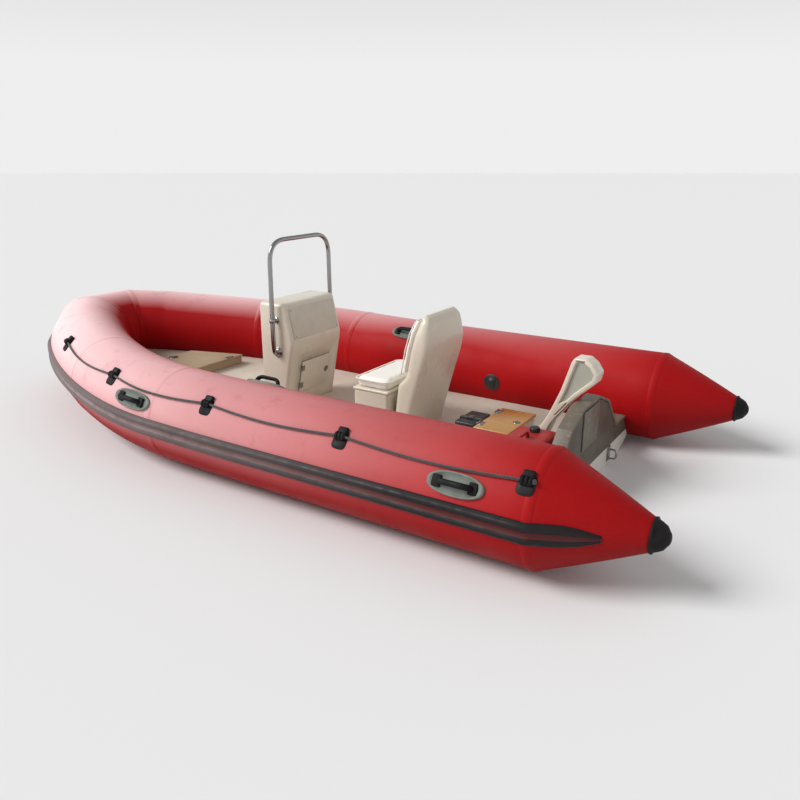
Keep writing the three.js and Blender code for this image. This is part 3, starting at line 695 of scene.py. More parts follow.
def collar_rings():
    """Rings of the whole collar, from the port cone round the bow to the starboard cone."""
    rings = []
    outward = Vector((0, 1, 0))
    for i in range(13):
        x = CAP_LENGTH * 0.7 + (CONE_LENGTH - CAP_LENGTH * 0.7) * i / 13
        rings.append(flat_ring(Vector((x, TUBE_Y, TUBE_Z)), outward, cone_radius(x)))
    points = port_line()
    for i, point in enumerate(points):
        ahead = points[min(i + 1, len(points) - 1)] - points[max(i - 1, 0)]
        if i == len(points) - 1:
            ahead = MITRE - point
        normal = Vector((-ahead.y, ahead.x, 0)).normalized()
        rings.append(flat_ring(lifted(point), normal, TUBE_R))
    last = (MITRE - points[-1]).normalized()
    first_normal, nose_normal = Vector((-last.y, last.x, 0)), Vector((1, 0, 0))
    mitre_normal = (first_normal + nose_normal) / (1 + first_normal.dot(nose_normal))
    mitre_ring = flat_ring(lifted(MITRE), mitre_normal, TUBE_R)
    base = rings[-1]
    rings += [mixed(base, mitre_ring, i / 7) for i in range(1, 8)]
    other = [Vector((p.x, -p.y, p.z)) for p in mitre_ring]
    middle = [mixed(mitre_ring, other, i / 8) for i in range(1, 8)]
    mirrored = [[Vector((p.x, -p.y, p.z)) for p in ring] for ring in reversed(rings)]
    return rings + middle + mirrored, len(rings) - 1


def make_collar():
    rings, mitre = collar_rings()
    made = add_object("collar", from_rings("collar", rings), FABRIC)
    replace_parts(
        made,
        "port_stern_cone", "port_side_tube", "port_bow_tube", "bow_nose_tube",
        "starboard_bow_tube", "starboard_side_tube", "starboard_stern_cone",
    )
    tapes = []
    count = len(rings)
    seam_rings = [13, 13 + 24, 13 + 24 + 13, mitre]
    for i in seam_rings + [count - 1 - i for i in seam_rings]:
        tapes.append(tape(rings, i, 0.022))
    add_joined("seam_tapes", tapes, FABRIC)


def tape(rings, i, half, lift=0.0016):
    """A band of fabric glued round the collar over ring i."""
    before, here, after = rings[i - 1], rings[i], rings[i + 1]
    centre = sum(here, Vector()) / len(here)
    band = []
    for other, share in ((before, 1.0), (before, 0.8), (here, 0.0), (after, 0.8), (after, 1.0)):
        raised = 0.0 if share == 1.0 else lift
        ring = []
        for a, b in zip(here, other):
            way = (b - a)
            point = a + way.normalized() * min(half * share, way.length) if way.length > 0 else a.copy()
            ring.append(point + (a - centre).normalized() * raised)
        band.append(ring)
    mesh = bpy.data.meshes.new("tape")
    count = len(here)
    points = [tuple(p) for ring in band for p in ring]
    faces = []
    for row in range(len(band) - 1):
        for k in range(count):
            j = (k + 1) % count
            faces.append((row * count + k, row * count + j, (row + 1) * count + j, (row + 1) * count + k))
    mesh.from_pydata(points, [], faces)
    solid = bmesh.new()
    solid.from_mesh(mesh)
    bmesh.ops.recalc_face_normals(solid, faces=solid.faces)
    solid.to_mesh(mesh)
    solid.free()
    return mesh


make_collar()

# ---- rings along the collar, used by the strake, the tapes and the patches ----
def on_ring(centre, outward, radius, up_skin, proud):
    """A point on the skin, up_skin metres round from its outermost line and proud metres out of it."""
    angle = math.asin(max(-1, min(1, up_skin / radius)))
    reach = radius + proud
    return centre + outward * (reach * math.cos(angle)) + Vector((0, 0, reach * math.sin(angle)))


def make_strake():
    half = 0.046
    profile = [
        (-1, 0), (-1, 0.004), (-0.9, 0.007), (-0.8, 0.015), (-0.62, 0.021), (-0.4, 0.02), (-0.26, 0.012),
        (-0.12, 0.008), (0.12, 0.008), (0.26, 0.012), (0.4, 0.02), (0.62, 0.021), (0.8, 0.015),
        (0.9, 0.007), (1, 0.004), (1, 0), (0.5, -0.004), (-0.5, -0.004),
    ]
    stations = []
    for i in range(15):
        x = 0.215 + (CONE_LENGTH - 0.215) * i / 15
        share = min(1, (x - 0.215) / 0.16)
        taper = 0.3 + 0.7 * math.sin(math.pi / 2 * share)
        stations.append((Vector((x, TUBE_Y, TUBE_Z)), Vector((0, 1, 0)), cone_radius(x), taper))
    points = port_line()
    for i, point in enumerate(points):
        ahead = points[min(i + 1, len(points) - 1)] - points[max(i - 1, 0)]
        if i == len(points) - 1:
            ahead = MITRE - point
        normal = Vector((-ahead.y, ahead.x, 0)).normalized()
        stations.append((lifted(point), normal, TUBE_R, 1))
    last = (MITRE - points[-1]).normalized()
    normal = Vector((-last.y, last.x, 0)) + Vector((1, 0, 0))
    normal = normal / (1 + Vector((-last.y, last.x, 0)).dot(Vector((1, 0, 0))))
    stations.append((lifted(MITRE), normal, TUBE_R, 1))
    rings = []
    for centre, outward, radius, taper in stations:
        rings.append([
            on_ring(centre, outward, radius, share * half * taper, proud * (0.25 + 0.75 * taper))
            for share, proud in profile
        ])
    mirrored = [[Vector((p.x, -p.y, p.z)) for p in ring] for ring in reversed(rings)]
    mesh = from_rings("rubbing_strake", rings + mirrored)
    made = add_object("rubbing_strake", mesh, STRAKE)
    mesh.materials.append(GROOVE)
    columns = len(profile)
    groove = {6, 7, 8}
    for face in mesh.polygons[:len(mesh.polygons) - 2]:
        if min(vertex % columns for vertex in face.vertices) in groove:
            face.material_index = 1
    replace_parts(made, "rub_strake")


def skin_patch(distance, angle, sign, half_u, half_v, steps, power=2.0, around=48):
    """A patch glued to a tube: steps are (share of the half sizes, height) from the rim inwards."""
    points, faces = [], []
    for share, height in steps:
        for i in range(around):
            turn = 2 * math.pi * i / around
            c, s = math.cos(turn), math.sin(turn)
            u = half_u * share * math.copysign(abs(c) ** (2 / power), c)
            v = half_v * share * math.copysign(abs(s) ** (2 / power), s)
            place = skin(distance + u, angle + math.degrees(v / TUBE_R), sign, height)
            points.append(place.translation)
    for row in range(len(steps) - 1):
        for i in range(around):
            j = (i + 1) % around
            faces.append((row * around + i, row * around + j, (row + 1) * around + j,
                          (row + 1) * around + i))
    top = len(points)
    points.append(skin(distance, angle, sign, steps[-1][1]).translation)
    last = (len(steps) - 1) * around
    faces += [(last + i, last + (i + 1) % around, top) for i in range(around)]
    mesh = bpy.data.meshes.new("patch")
    mesh.from_pydata([tuple(p) for p in points], [], faces)
    made = bmesh.new()
    made.from_mesh(mesh)
    bmesh.ops.recalc_face_normals(made, faces=made.faces)
    out = skin(distance, angle, sign).col[2].to_3d()
    made.faces.ensure_lookup_table()
    if made.faces[-1].normal.dot(out) < 0:
        bmesh.ops.reverse_faces(made, faces=made.faces)
    made.to_mesh(mesh)
    made.free()
    return mesh


RIMMED = [(1.0, -0.002), (1.0, 0.007), (0.97, 0.012), (0.9, 0.014), (0.84, 0.012), (0.8, 0.007),
          (0.4, 0.007)]
FLAT_PATCH = [(1.0, -0.001), (1.0, 0.0025), (0.97, 0.0032), (0.5, 0.0034)]


def make_grip(name, node, distance, angle, sign):
    patch = skin_patch(distance, angle, sign, 0.125, 0.048, RIMMED, 2.3)
    made = add_object(name + "_patch", patch, GRIP)
    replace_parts(made, node)
    place = skin(distance, angle, sign)
    corners = [(-0.078, 0, 0.002), (-0.062, 0, 0.044), (0.062, 0, 0.044), (0.078, 0, 0.002)]
    handle = bar(rounded_path(corners, 0.03, 7), 0.0095, 14)
    handle.transform(place @ Matrix.Diagonal((1, 1.35, 1, 1)))
    feet = [
        block((0.04, 0.05, 0.012), 0.005, 3, place @ Matrix.Translation((shift, 0, 0.009)))
        for shift in (-0.08, 0.08)
    ]
    add_object(name + "_handle", joined(name + "_handle", [handle, *feet]), RUBBER)


def rope_path(sign):
    """The lifeline's middle: it droops a little between its holders."""
    places = [LINE.at_x(x) for x in HOLDER_PLACES] + [bend_distance(share) for share in HOLDER_SHARES]
    path = []
    overhang = 0.03
    path.append((places[0] - overhang, ROPE_ANGLE))
    for start, end in zip(places, places[1:]):
        count = int((end - start) / 0.008)
        for i in range(count):
            share = i / count
            path.append((start + (end - start) * share, ROPE_ANGLE - 5 * math.sin(math.pi * share)))
    path += [(places[-1], ROPE_ANGLE), (places[-1] + overhang, ROPE_ANGLE)]
    return [skin(max(at, 0.001), angle, sign, 0.012).translation for at, angle in path], places


def twisted_rope(points, radius, lay, sides=12):
    """Three strands laid round each other."""
    rings, along, side = [], 0.0, None
    for i, point in enumerate(points):
        ahead = (points[min(i + 1, len(points) - 1)] - points[max(i - 1, 0)]).normalized()
        side = side or ahead.orthogonal().normalized()
        side = (side - ahead * side.dot(ahead)).normalized()
        up = ahead.cross(side)
        if i:
            along += (point - points[i - 1]).length
        turn = 2 * math.pi * along / lay
        ring = []
        for k in range(sides):
            angle = 2 * math.pi * k / sides
            reach = radius * (0.9 + 0.16 * math.cos(3 * (angle - turn)))
            ring.append(point + reach * (math.cos(angle) * side + math.sin(angle) * up))
        rings.append(ring)
    return from_rings("rope", rings)


def make_lifelines():
    for side, sign in SIDES:
        path, places = rope_path(sign)
        rope = twisted_rope(path, ROPE_R, 0.042)
        knots = []
        for end, inner in ((path[0], path[2]), (path[-1], path[-3])):
            away = (end - inner).normalized()
            turn = away.to_track_quat("Z", "Y").to_matrix().to_4x4()
            turn.translation = end
            outline = [(0, -0.009), (0.007, -0.008), (0.0105, -0.003), (0.0105, 0.003), (0.007, 0.008),
                       (0, 0.009)]
            knots.append(lathe(outline, 16, turn))
        made = add_joined(side + "_rope", [rope, *knots], ROPE)
        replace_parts(made, side + "_lifeline")
        for i, distance in enumerate(places, 1):
            make_holder(side, sign, i, distance)


def make_holder(side, sign, number, distance):
    """A moulded rubber tunnel on a round-cornered patch, with the rope running through it."""
    place = skin(distance, ROPE_ANGLE, sign)
    parts = [skin_patch(distance, ROPE_ANGLE - 3, sign, 0.036, 0.043, FLAT_PATCH, 4, 32)]
    parts.append(block((0.05, 0.064, 0.02), 0.008, 4, place @ Matrix.Translation((0, -0.012, 0.007))))
    arch = []
    for i in range(9):
        angle = math.pi * i / 8
        arch.append((0, 0.016 * math.cos(angle), 0.006 + 0.018 * math.sin(angle)))
    for shift in (-0.017, 0.0, 0.017):
        rib = bar(arch, 0.0048, 10)
        rib.transform(place @ Matrix.Translation((shift, 0, 0)) @ Matrix.Diagonal((1.6, 1, 1, 1)))
        parts.append(rib)
    name = f"{side}_holder_{number}"
    made = add_object(name, joined(name, parts), RUBBER)
    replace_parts(made, f"{side}_rope_holder_{number}")


def make_cone_caps():
    for side, sign in SIDES:
        lip = cone_radius(CAP_LENGTH)
        outline = [(0, 0), (0.012, 0.0006), (0.022, 0.004), (0.031, 0.011),
                   (cone_radius(0.02) + 0.002, 0.021)]
        outline += [(cone_radius(x) + 0.003, x) for x in (0.034, 0.046, 0.056)]
        outline += [(lip + 0.0065, 0.058), (lip + 0.0075, 0.062), (lip + 0.006, 0.067),
                    (lip - 0.006, 0.068), (0, 0.068)]
        turn = Matrix.Rotation(math.pi / 2, 4, "Y")
        turn.translation = (0, sign * TUBE_Y, TUBE_Z)
        made = add_object(side + "_end_cap", lathe(outline, 48, turn), RUBBER)
        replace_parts(made, side + "_cone_cap")

def make_valves():
    """Inflation valves inside the collar, one to each chamber."""
    bow = LINE.length * 0.78
    places = (("port", 1, 1, 0.955), ("port", 1, 2, bow), ("starboard", -1, 1, 0.955))
    for side, sign, number, distance in places:
        angle = 182
        place = skin(distance, angle, sign)
        outline = [
            (0, 0.012), (0.017, 0.012), (0.02, 0.01), (0.022, 0.004), (0.03, 0.004), (0.033, 0.002),
            (0.033, -0.002),
            (0, -0.002),
        ]
        parts = [skin_patch(distance, angle, sign, 0.052, 0.052, FLAT_PATCH, 2, 32),
                 lathe(outline, 32, place)]
        for k in range(6):
            turn = Matrix.Rotation(math.pi * k / 3, 4, "Z") @ Matrix.Translation((0.0185, 0, 0.009))
            parts.append(block((0.005, 0.005, 0.008), 0.0012, 2, place @ turn))
        name = f"{side}_valve_{number}"
        add_object(name, joined(name, parts), PLASTIC)


make_strake()
make_lifelines()
for side, sign in SIDES:
    make_grip(side + "_outer_grip_1", side + "_grip_1", LINE.at_x(0.771), GRIP_ANGLE, sign)
    bow_grip = bend_distance(0) + (2.646 - BEND_START)
    make_grip(side + "_outer_grip_2", side + "_grip_2", bow_grip, GRIP_ANGLE, sign)
    make_grip(side + "_inner_grip", side + "_inner_handle", LINE.at_x(2.08), INNER_HANDLE_ANGLE, sign)
make_cone_caps()
make_valves()


# ---- rigid hull, sole and transom ----
HULL_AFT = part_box("hull")[0].x
KEEL = 0.205
CHINE_HALF = 0.69
CHINE_Z = 0.046
STEM_START = 2.35
DECK = 0.14
SOLE_THICK = 0.0143


def hull_half(y):
    return max(y - TUBE_R * 0.48, y * 0.5)


def hull_ring(x, y):
    stem = max(x - STEM_START, 0) / (BOW_X - STEM_START)
    top = DECK + rise_at(x) - SOLE_THICK
    keel = -KEEL + (top - 0.04 + KEEL) * stem ** 2.3
    chine = CHINE_Z + (top - 0.014 - CHINE_Z) * stem ** 1.4
    half = hull_half(y)
    out = half * (CHINE_HALF / hull_half(TUBE_Y))
    fade = 1 - stem
    belly = (keel + chine) / 2 - 0.008 * fade
    rail = 0.012 * fade
    port = [
        (0.012, keel + 0.001), (out * 0.48, belly - 0.002), (out * 0.5, belly - rail),
        (out * 0.53, belly + 0.001 * fade),
        (out - 0.02 * fade, chine - 0.004), (out, chine - rail * 0.7), (out + 0.004 * fade, chine),
        (half, chine + 0.012), (half, top),
    ]
    ring = [(0, keel - 0.006 * fade)] + port + [(-a, b) for a, b in reversed(port)]
    return [Vector((x, a, b)) for a, b in ring]


def make_hull():
    places = [(HULL_AFT + (BEND_START - HULL_AFT) * i / 30, TUBE_Y) for i in range(30)]
    places += [tuple(bend_at(BEND_SMOOTH * i / 40)) for i in range(41)]
    last = Vector(places[-1])
    places += [tuple(last.lerp(MITRE, i / 4)) for i in range(1, 5)]
    skin_mesh = from_rings("hull_moulding", [hull_ring(*place) for place in places])
    made = add_object("hull_moulding", skin_mesh, GELCOAT)
    bevelled(made, 0.003, 2, 20)
    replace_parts(made, "hull")


make_hull()
softened("sole", NON_SLIP, 0.003, 2)


# ---- transom ----
TRANSOM_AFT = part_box("transom")[0].x
TRANSOM_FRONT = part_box("transom")[1].x
TRANSOM_TOP = [(0.735, 0.188), (0.44, 0.188), (0.27, 0.375), (0.11, 0.44)]
CAP_THICK = 0.014


def strips(rows, place, half, bevel, segments=3):
    """A board of given thickness: rows hold the two ends of each strip across its outline."""
    made = bmesh.new()
    sides = []
    for sign in (-1, 1):
        sides.append([[made.verts.new(place(a, b, sign * half)) for a, b in row] for row in rows])
    for side in sides:
        for first, second in zip(side, side[1:]):
            made.faces.new((first[0], first[1], second[1], second[0]))
    front, back = sides
    for end in (0, 1):
        for i in range(len(rows) - 1):
            made.faces.new((front[i][end], back[i][end], back[i + 1][end], front[i + 1][end]))
    for i in (0, len(rows) - 1):
        made.faces.new((front[i][0], front[i][1], back[i][1], back[i][0]))
    bmesh.ops.recalc_face_normals(made, faces=made.faces)
    edges = [edge for edge in made.edges if edge.calc_face_angle(0) > 0.3]
    bmesh.ops.bevel(made, geom=edges, offset=bevel, segments=segments, affect="EDGES", profile=0.5)
    return made


def finished(made):
    mesh = bpy.data.meshes.new("board")
    made.to_mesh(mesh)
    made.free()
    return mesh


def sharpened(mesh, angle=35):
    """Smooth shading that keeps the edges sharper than an angle."""
    mesh.set_sharp_from_angle(angle=math.radians(angle))
    return mesh


def line_at(line, y):
    """Height of the transom's top at y."""
    y = abs(y)
    for (outer, high), (inner, low) in zip(line, line[1:]):
        if y >= inner:
            return high + (low - high) * (outer - y) / (outer - inner)
    return line[-1][1]


def bottom_at(y):
    y = abs(y)
    if y <= CHINE_HALF:
        return -KEEL + (CHINE_Z + KEEL) * y / CHINE_HALF
    return CHINE_Z + 0.08 * (y - CHINE_HALF) / 0.045


def make_transom():
    places = sorted({sign * y for y, _ in TRANSOM_TOP for sign in (-1, 1)} | {-CHINE_HALF, 0, CHINE_HALF})
    half = (TRANSOM_FRONT - TRANSOM_AFT) / 2
    middle = (TRANSOM_FRONT + TRANSOM_AFT) / 2

    def across(a, b, depth):
        return (middle + depth, a, b)

    rows = [((y, bottom_at(y)), (y, line_at(TRANSOM_TOP, y))) for y in places]
    made = add_object("transom_board", finished(strips(rows, across, half, 0.005)), TRANSOM)
    sharpened(made.data)
    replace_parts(made, "transom")
    rows = []
    for y in places:
        top = line_at(TRANSOM_TOP, y)
        rows.append(((y, top + 0.0004), (y * 1.01, top + CAP_THICK)))
    cap = finished(strips(rows, across, half + 0.008, 0.004))
    made = add_object("transom_capping", cap, EDGING)
    sharpened(made.data)
    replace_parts(made, "transom_cap")
    pad = block((0.009, 0.22, 0.2), 0.004, 3, Matrix.Translation((TRANSOM_AFT - 0.003, 0, 0.325)))
    add_object("engine_pad", pad, EDGING)


make_transom()


# ---- helpers for mouldings ----
def slab(outline, half, bevel, segments=4):
    """An outline seen from the side (x, z), spread to both sides of the centreline, with round edges."""
    made = bmesh.new()
    rows = []
    for y in (-half, half):
        rows.append([made.verts.new((x, y, z)) for x, z in outline])
    made.faces.new(rows[0])
    made.faces.new(list(reversed(rows[1])))
    count = len(outline)
    for i in range(count):
        j = (i + 1) % count
        made.faces.new((rows[0][i], rows[1][i], rows[1][j], rows[0][j]))
    bmesh.ops.recalc_face_normals(made, faces=made.faces)
    if bevel:
        bmesh.ops.bevel(
            made, geom=list(made.edges), offset=bevel, segments=segments, affect="EDGES", profile=0.5,
            clamp_overlap=True,
        )
    mesh = bpy.data.meshes.new("slab")
    made.to_mesh(mesh)
    made.free()
    return mesh


def carved(mesh, *tools):
    """A mesh with others cut out of it."""
    body = bpy.data.objects.new("carved", mesh)
    scene.collection.objects.link(body)
    cutters = []
    for tool in tools:
        cutter = bpy.data.objects.new("cutter", tool)
        scene.collection.objects.link(cutter)
        cutters.append(cutter)
        modifier = body.modifiers.new("cut", "BOOLEAN")
        modifier.operation = "DIFFERENCE"
        modifier.solver = "EXACT"
        modifier.object = cutter
    bpy.context.view_layer.update()
    result = bpy.data.meshes.new_from_object(body.evaluated_get(bpy.context.evaluated_depsgraph_get()))
    for used in [body, *cutters]:
        data = used.data
        bpy.data.objects.remove(used)
        bpy.data.meshes.remove(data)
    return result


def face_frame(lower, upper):
    """A frame on a slanted face of the console: X to starboard, Y up the face, Z out of it."""
    up = Vector((upper[0] - lower[0], 0, upper[1] - lower[1])).normalized()
    side = Vector((0, -1, 0))
    out = side.cross(up)
    made = Matrix((side, up, out)).transposed().to_4x4()
    made.translation = (lower[0], 0, lower[1])
    return made


def screw(matrix, radius=0.004):
    outline = [(0, 0.0016), (radius * 0.5, 0.0015), (radius * 0.9, 0.0008), (radius, -0.0005), (0, -0.0005)]
    return lathe(outline, 14, matrix)


def hinge_leaf(matrix, length, width, radius=0.0046, axis=(0, -0.001, 0.003)):
    """Half a butt hinge: a leaf with two screws and a knuckle of a radius round an axis."""
    leaf = block((length, width, 0.0022), 0.0009, 2, matrix @ Matrix.Translation((0, width / 2, 0.001)))
    rim, end = radius - 0.0004, length / 2
    outline = [(0, -end), (rim, -end), (radius, -end + 0.0008), (radius, end - 0.0008), (rim, end),
               (0, end)]
    knuckle = lathe(outline, 16, matrix @ Matrix.Translation(axis) @ Matrix.Rotation(math.pi / 2, 4, "Y"))
    screws = [screw(matrix @ Matrix.Translation((shift * length * 0.3, width * 0.55,
                                                 0.0024))) for shift in (-1, 1)]
    return joined("hinge", [leaf, knuckle, *screws])


# ---- console ----
CONSOLE_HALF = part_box("console_shell")[1].y
CONSOLE_PROFILE = [(2.53, 0.135), (2.53, 0.785), (2.34, 0.785), (2.285, 0.55), (2.365, 0.135)]
LOWER = face_frame((2.365, 0.13), (2.285, 0.55))
UPPER = face_frame((2.285, 0.55), (2.34, 0.785))
DOOR = (0.115, 0.305, 0.26)      # foot and top along the slanted face, and width


def make_console():
    shell = slab(CONSOLE_PROFILE, CONSOLE_HALF, 0.024, 5)
    inside = slab([(2.519, 0.1), (2.519, 0.773), (2.35, 0.773), (2.297, 0.55), (2.377, 0.1)],
                  CONSOLE_HALF - 0.012, 0)
    middle = (DOOR[0] + DOOR[1]) / 2
    hole = block((DOOR[2] - 0.034, DOOR[1] - DOOR[0] - 0.034, 0.08), 0.012, 3,
                 LOWER @ Matrix.Translation((0, middle, 0)),
                 lambda edge: abs(edge.verts[0].co.z - edge.verts[1].co.z) > 0.01)
    made = add_object("console_moulding", carved(shell, inside, hole), GELCOAT)
    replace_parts(made, "console_shell")
    foot = []
    for y in (-CONSOLE_HALF - 0.004, CONSOLE_HALF + 0.004):
        foot.append(block((0.17, 0.012, 0.01), 0.004, 3, Matrix.Translation((2.447, y, 0.144))))
    foot.append(block((0.012, 2 * CONSOLE_HALF + 0.02, 0.01), 0.004, 3,
                      Matrix.Translation((2.534, 0, 0.144))))
    foot.append(block((0.012, 2 * CONSOLE_HALF + 0.02, 0.01), 0.004, 3,
                      Matrix.Translation((2.36, 0, 0.144))))
    add_joined("console_foot_seal", foot, GELCOAT)


def make_door():
    middle = (DOOR[0] + DOOR[1]) / 2
    height = DOOR[1] - DOOR[0]
    centre = LOWER @ Matrix.Translation((0, middle, 0.0043))
    panel = block((DOOR[2], height, 0.008), 0.0035, 3, centre)
    raised = block((DOOR[2] - 0.05, height - 0.05, 0.004), 0.0018, 2,
                   centre @ Matrix.Translation((0, 0, 0.004)))
    made = add_joined("console_door_panel", [panel, raised], GELCOAT, "console_door")
    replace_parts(made, "console_door")
    latch_place = centre @ Matrix.Translation((DOOR[2] / 2 - 0.028, 0, 0.004))
    ring = [(0, 0.0035), (0.015, 0.0035), (0.019, 0.003), (0.021, 0), (0.021, -0.001), (0, -0.001)]
    parts = [lathe(ring, 32, latch_place),
             block((0.026, 0.007, 0.005), 0.002, 3, latch_place @ Matrix.Translation((0, 0, 0.005)))]
    add_joined("console_door_latch", parts, STEEL, "console_door")
    hinges = []
    for shift in (-0.055, 0.055):
        place = centre @ Matrix.Translation((-DOOR[2] / 2, shift, 0.004)) @ Matrix.Rotation(-math.pi / 2, 4,
                                                                                            "Z")
        # the knuckle lies on the door's own axis, so it turns in place and clears the console
        hinges.append(hinge_leaf(place, 0.034, 0.022, 0.0038, (0, 0, -0.004)))
    add_joined("console_door_hinges", hinges, STEEL, "console_door")


def make_dash():
    length = 0.2413
    centre = UPPER @ Matrix.Translation((0, length / 2, 0.0033))
    width, height = 2 * (CONSOLE_HALF - 0.03), length - 0.06
    rim = block((width, height, 0.006), 0.0028, 3, centre)
    made = add_object("instrument_panel", rim, DASH)
    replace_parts(made, "dash_panel")
    screws = []
    for a in (-1, 1):
        for b in (-1, 1):
            screws.append(screw(centre @ Matrix.Translation((a * (width / 2 - 0.014),
                                                             b * (height / 2 - 0.014), 0.003)), 0.0045))
    add_joined("instrument_panel_screws", screws, STEEL)


def make_hoop():
    x, start, half, top_half, foot, top, radius = 2.395, 0.2416, 0.272, 0.264, 0.5, 1.137, 0.013
    corners = [(x, start, foot), (x, half, foot), (x, top_half, top)]
    corners += [(cx, -cy, cz) for cx, cy, cz in reversed(corners)]
    made = add_object("hoop_bar", bar(rounded_path(corners, 0.125, 14), radius, 28), STEEL)
    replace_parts(made, "hoop_rail")
    for side, sign in SIDES:
        turn = Matrix.Rotation(-sign * math.pi / 2, 4, "X")
        turn.translation = (x, sign * CONSOLE_HALF, foot)
        outline = [(0, 0), (0.032, 0), (0.032, 0.0035), (0.0295, 0.0058), (0.018, 0.0062), (0.0165, 0.011),
                   (0.013, 0.0125), (0, 0.0125)]
        parts = [lathe(outline, 40, turn)]
        for k in range(3):
            bolt = turn @ Matrix.Rotation(2 * math.pi * k / 3 + 0.5, 4,
                                          "Z") @ Matrix.Translation((0.024, 0, 0.0055))
            parts.append(screw(bolt, 0.0045))
        made = add_joined(side + "_hoop_flange", parts, STEEL)
        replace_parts(made, side + "_hoop_foot")
        turn = turn.copy()
        turn.translation = (x, sign * CONSOLE_HALF, 0.69)
        length = 0.272 - CONSOLE_HALF - 0.012
        outline = [(0, 0), (0.02, 0), (0.02, 0.003), (0.018, 0.0045), (0.009, 0.005), (0.009, length),
                   (0, length)]
        parts = [lathe(outline, 32, turn)]
        clamp_centre = Vector((x, sign * 0.2697, 0.69))
        ring = [(0.0132, -0.011), (0.0165, -0.011), (0.0175, -0.009), (0.0175, 0.009), (0.0165, 0.011),
                (0.0132, 0.011)]
        parts.append(lathe(ring, 32, Matrix.Translation(clamp_centre)))
        made = add_joined(side + "_hoop_bracket", parts, STEEL)
        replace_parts(made, side + "_hoop_stay")


make_console()
make_door()
make_dash()
make_hoop()


# ---- seat ----
def rounded_ring(z, aft, front, half, corner, per_corner=6):
    """A rectangle in plan with round corners."""
    corner = min(corner, (front - aft) * 0.49, half * 0.98)
    ring = []
    for cx, cy, turn in (
        (front - corner, half - corner, 0), (aft + corner, half - corner, 90),
        (aft + corner, corner - half, 180), (front - corner, corner - half, 270),
    ):
        for i in range(per_corner + 1):
            angle = math.radians(turn + 90 * i / per_corner)
            ring.append(Vector((cx + corner * math.cos(angle), cy + corner * math.sin(angle), z)))
    return ring


def smooth_levels(levels, per_span=6):
    """Values between levels, on a smooth curve."""
    out = []
    for i in range(len(levels) - 1):
        before = levels[max(i - 1, 0)]
        a, b = levels[i], levels[i + 1]
        after = levels[min(i + 2, len(levels) - 1)]
        for step in range(per_span):
            t = step / per_span
            row = []
            for p0, p1, p2, p3 in zip(before, a, b, after):
                row.append(0.5 * (2 * p1 + (p2 - p0) * t + (2 * p0 - 5 * p1 + 4 * p2 - p3) * t * t
                                  + (3 * p1 - p0 - 3 * p2 + p3) * t ** 3))
            row[0] = a[0] + (b[0] - a[0]) * t
            out.append(row)
    return out + [list(levels[-1])]


SEAT_AFT, SEAT_FRONT, SEAT_HALF = 1.64, 1.865, 0.228
LID_TOP, CUSHION_TOP = 0.38, 0.443
BACK_LEVELS = [
    (0.141, 1.53, 1.63, 0.205), (0.27, 1.5, 1.622, 0.205), (0.45, 1.452, 1.596, 0.205),
    (0.62, 1.408, 1.566, 0.205),
    (0.71, 1.41, 1.541, 0.2), (0.765, 1.42, 1.52, 0.182), (0.795, 1.436, 1.504, 0.162),
    (0.805, 1.448, 1.49, 0.148),
]
PAD_FOOT, PAD_THICK = 0.456, 0.04


def make_seat_box():
    outer = block((SEAT_FRONT - SEAT_AFT, 2 * SEAT_HALF, 0.221), 0.018, 4,
                  Matrix.Translation(((SEAT_FRONT + SEAT_AFT) / 2, 0, 0.2515)),
                  lambda edge: abs(edge.verts[0].co.z - edge.verts[1].co.z) > 0.01)
    inner = block((SEAT_FRONT - SEAT_AFT - 0.02, 2 * SEAT_HALF - 0.02, 0.4), 0, 1,
                  Matrix.Translation(((SEAT_FRONT + SEAT_AFT) / 2, 0, 0.352)))
    made = add_object("seat_box", carved(outer, inner), GELCOAT)
    bevelled(made, 0.002, 2, 40)
    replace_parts(made, "seat_base")
    softened("seat_lid", GELCOAT, 0.006, 3, "seat_lid")
    hinges = []
    for y in (-0.12, 0.12):
        place = Matrix.Translation((SEAT_FRONT + 0.0035, y, 0.3635)) @ Matrix.Rotation(math.pi / 2, 4, "Z")
        place = place @ Matrix.Rotation(-math.pi / 2, 4, "X")
        hinges.append(hinge_leaf(place, 0.05, 0.024))
    add_joined("seat_hinges", hinges, STEEL)


def make_back():
    rings = []
    for z, aft, front, half in smooth_levels(BACK_LEVELS):
        ease = min(1, max(0, (z - PAD_FOOT + 0.012) / 0.01))
        rings.append(rounded_ring(z, aft, front - (PAD_THICK + 0.002) * ease * (1 if z < 0.79 else 0.6),
                                  half, 0.042))
    made = add_object("seat_back_moulding", from_rings("seat_back_moulding", rings), GELCOAT)
    bevelled(made, 0.008, 3, 50)
    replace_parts(made, "seat_back")


